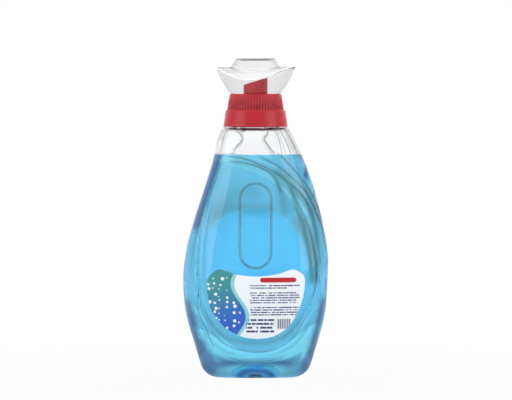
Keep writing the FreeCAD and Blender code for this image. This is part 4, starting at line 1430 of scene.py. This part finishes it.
def dress_bottle() -> None:
    """Builds and dresses the bottle, its detergent and its labels."""
    bottle = Bottle()
    tints = (0.985, 0.988, 0.99), (0.32, 0.33, 0.27), (0.175, 0.12, 0.25)
    wall = ClearPlastic("clear_bottle_plastic", *tints)
    liquid = TintedLiquid("blue_detergent", (0.36, 0.86, 1.0), (0.2, 0.83, 0.993), 15.0)
    # Darker copies of the clear bottle plastic paint shade onto the grip bead and the raised lines, so
    # that they read as dark lines.
    shaded_bead_finish = ClearPlastic("painted_shade_bead_plastic", (0.6, 0.59, 0.55))
    relief = ClearPlastic("painted_shade_relief_plastic", (0.74, 0.78, 0.78))
    back = LabelFilm("back_label_film", Side.BACK, 0.5, 41.9, 35.0, 59.2, BACK_OUTLINE)
    front = LabelFilm("front_label_film", Side.FRONT, 1.5, 42.0, 31.0, 112.0, FRONT_OUTLINE)
    back_print = PrintedFilm("back_label_print", Motif.WAVES, Side.BACK)
    front_print = PrintedFilm("front_label_print", Motif.BUBBLES, Side.FRONT)
    for piece, finish, slot, node in (
        (bottle.build_shell(), wall, "clear_bottle", "bottle"),
        (bottle.build_liquid(), liquid, "blue_detergent", "detergent"),
        (bottle.build_bead(), shaded_bead_finish, "clear_bottle", "bottle"),
        (bottle.build_ridges(), relief, "clear_bottle", "bottle"),
        (back.build(bottle.form), back_print, "label_film", "back_label"),
        (front.build(bottle.form), front_print, "label_film", "front_label"),
    ):
        dress(piece, finish.material(), "bottle_body", slot, node)


def dress_fittings() -> None:
    """Builds and dresses the closure, the spout and the dosing ball."""
    closure, ball, white = Closure(), DosingBall(), (1.0, 1.0, 1.0)
    ribbed_colours = (0.46, 0.016, 0.03), (0.42, 0.013, 0.025)
    ribbed = MouldedPlastic("red_ribbed_plastic", *ribbed_colours, closure.grooves).material()
    # Spout red kept apart from the collar's and raised to make up for the ball's shade over it: painted
    # light on a copy of the same red plastic.
    red = MouldedPlastic("red_plastic", (0.5, 0.009, 0.018), (0.45, 0.008, 0.015)).material()
    # Grey ball tint that the painted highlight leads to white.
    clear = ClearPlastic("clear_ball_plastic", (0.888, 0.89, 0.892), white, roughness=0.05, ior=1.36)
    # Opaque white for the beads that paint highlights on the ball.
    highlight_colours = (0.97, 0.97, 0.97), (0.94, 0.945, 0.95)
    highlight_white = MouldedPlastic("painted_highlight_plastic", *highlight_colours, roughness=0.2).material()
    dress(closure.build(), ribbed, "closure_body", "red_plastic", "closure")
    dress(PourSpout().build(), red, "spout_body", "red_plastic", "pour_spout")
    dress(ball.build(), clear.material(), "ball_body", "clear_ball", "dosing_ball")
    for bead in (ball.build_highlight_edge(), ball.build_highlight_rim()):
        dress(bead, highlight_white, "ball_body", "clear_ball", "dosing_ball")


def main() -> None:
    """Builds and dresses every piece, then lights and frames them."""
    logging.basicConfig(level=logging.INFO)
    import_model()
    dress_bottle()
    dress_fittings()
    Studio().build()


if __name__ == "__main__":
    main()
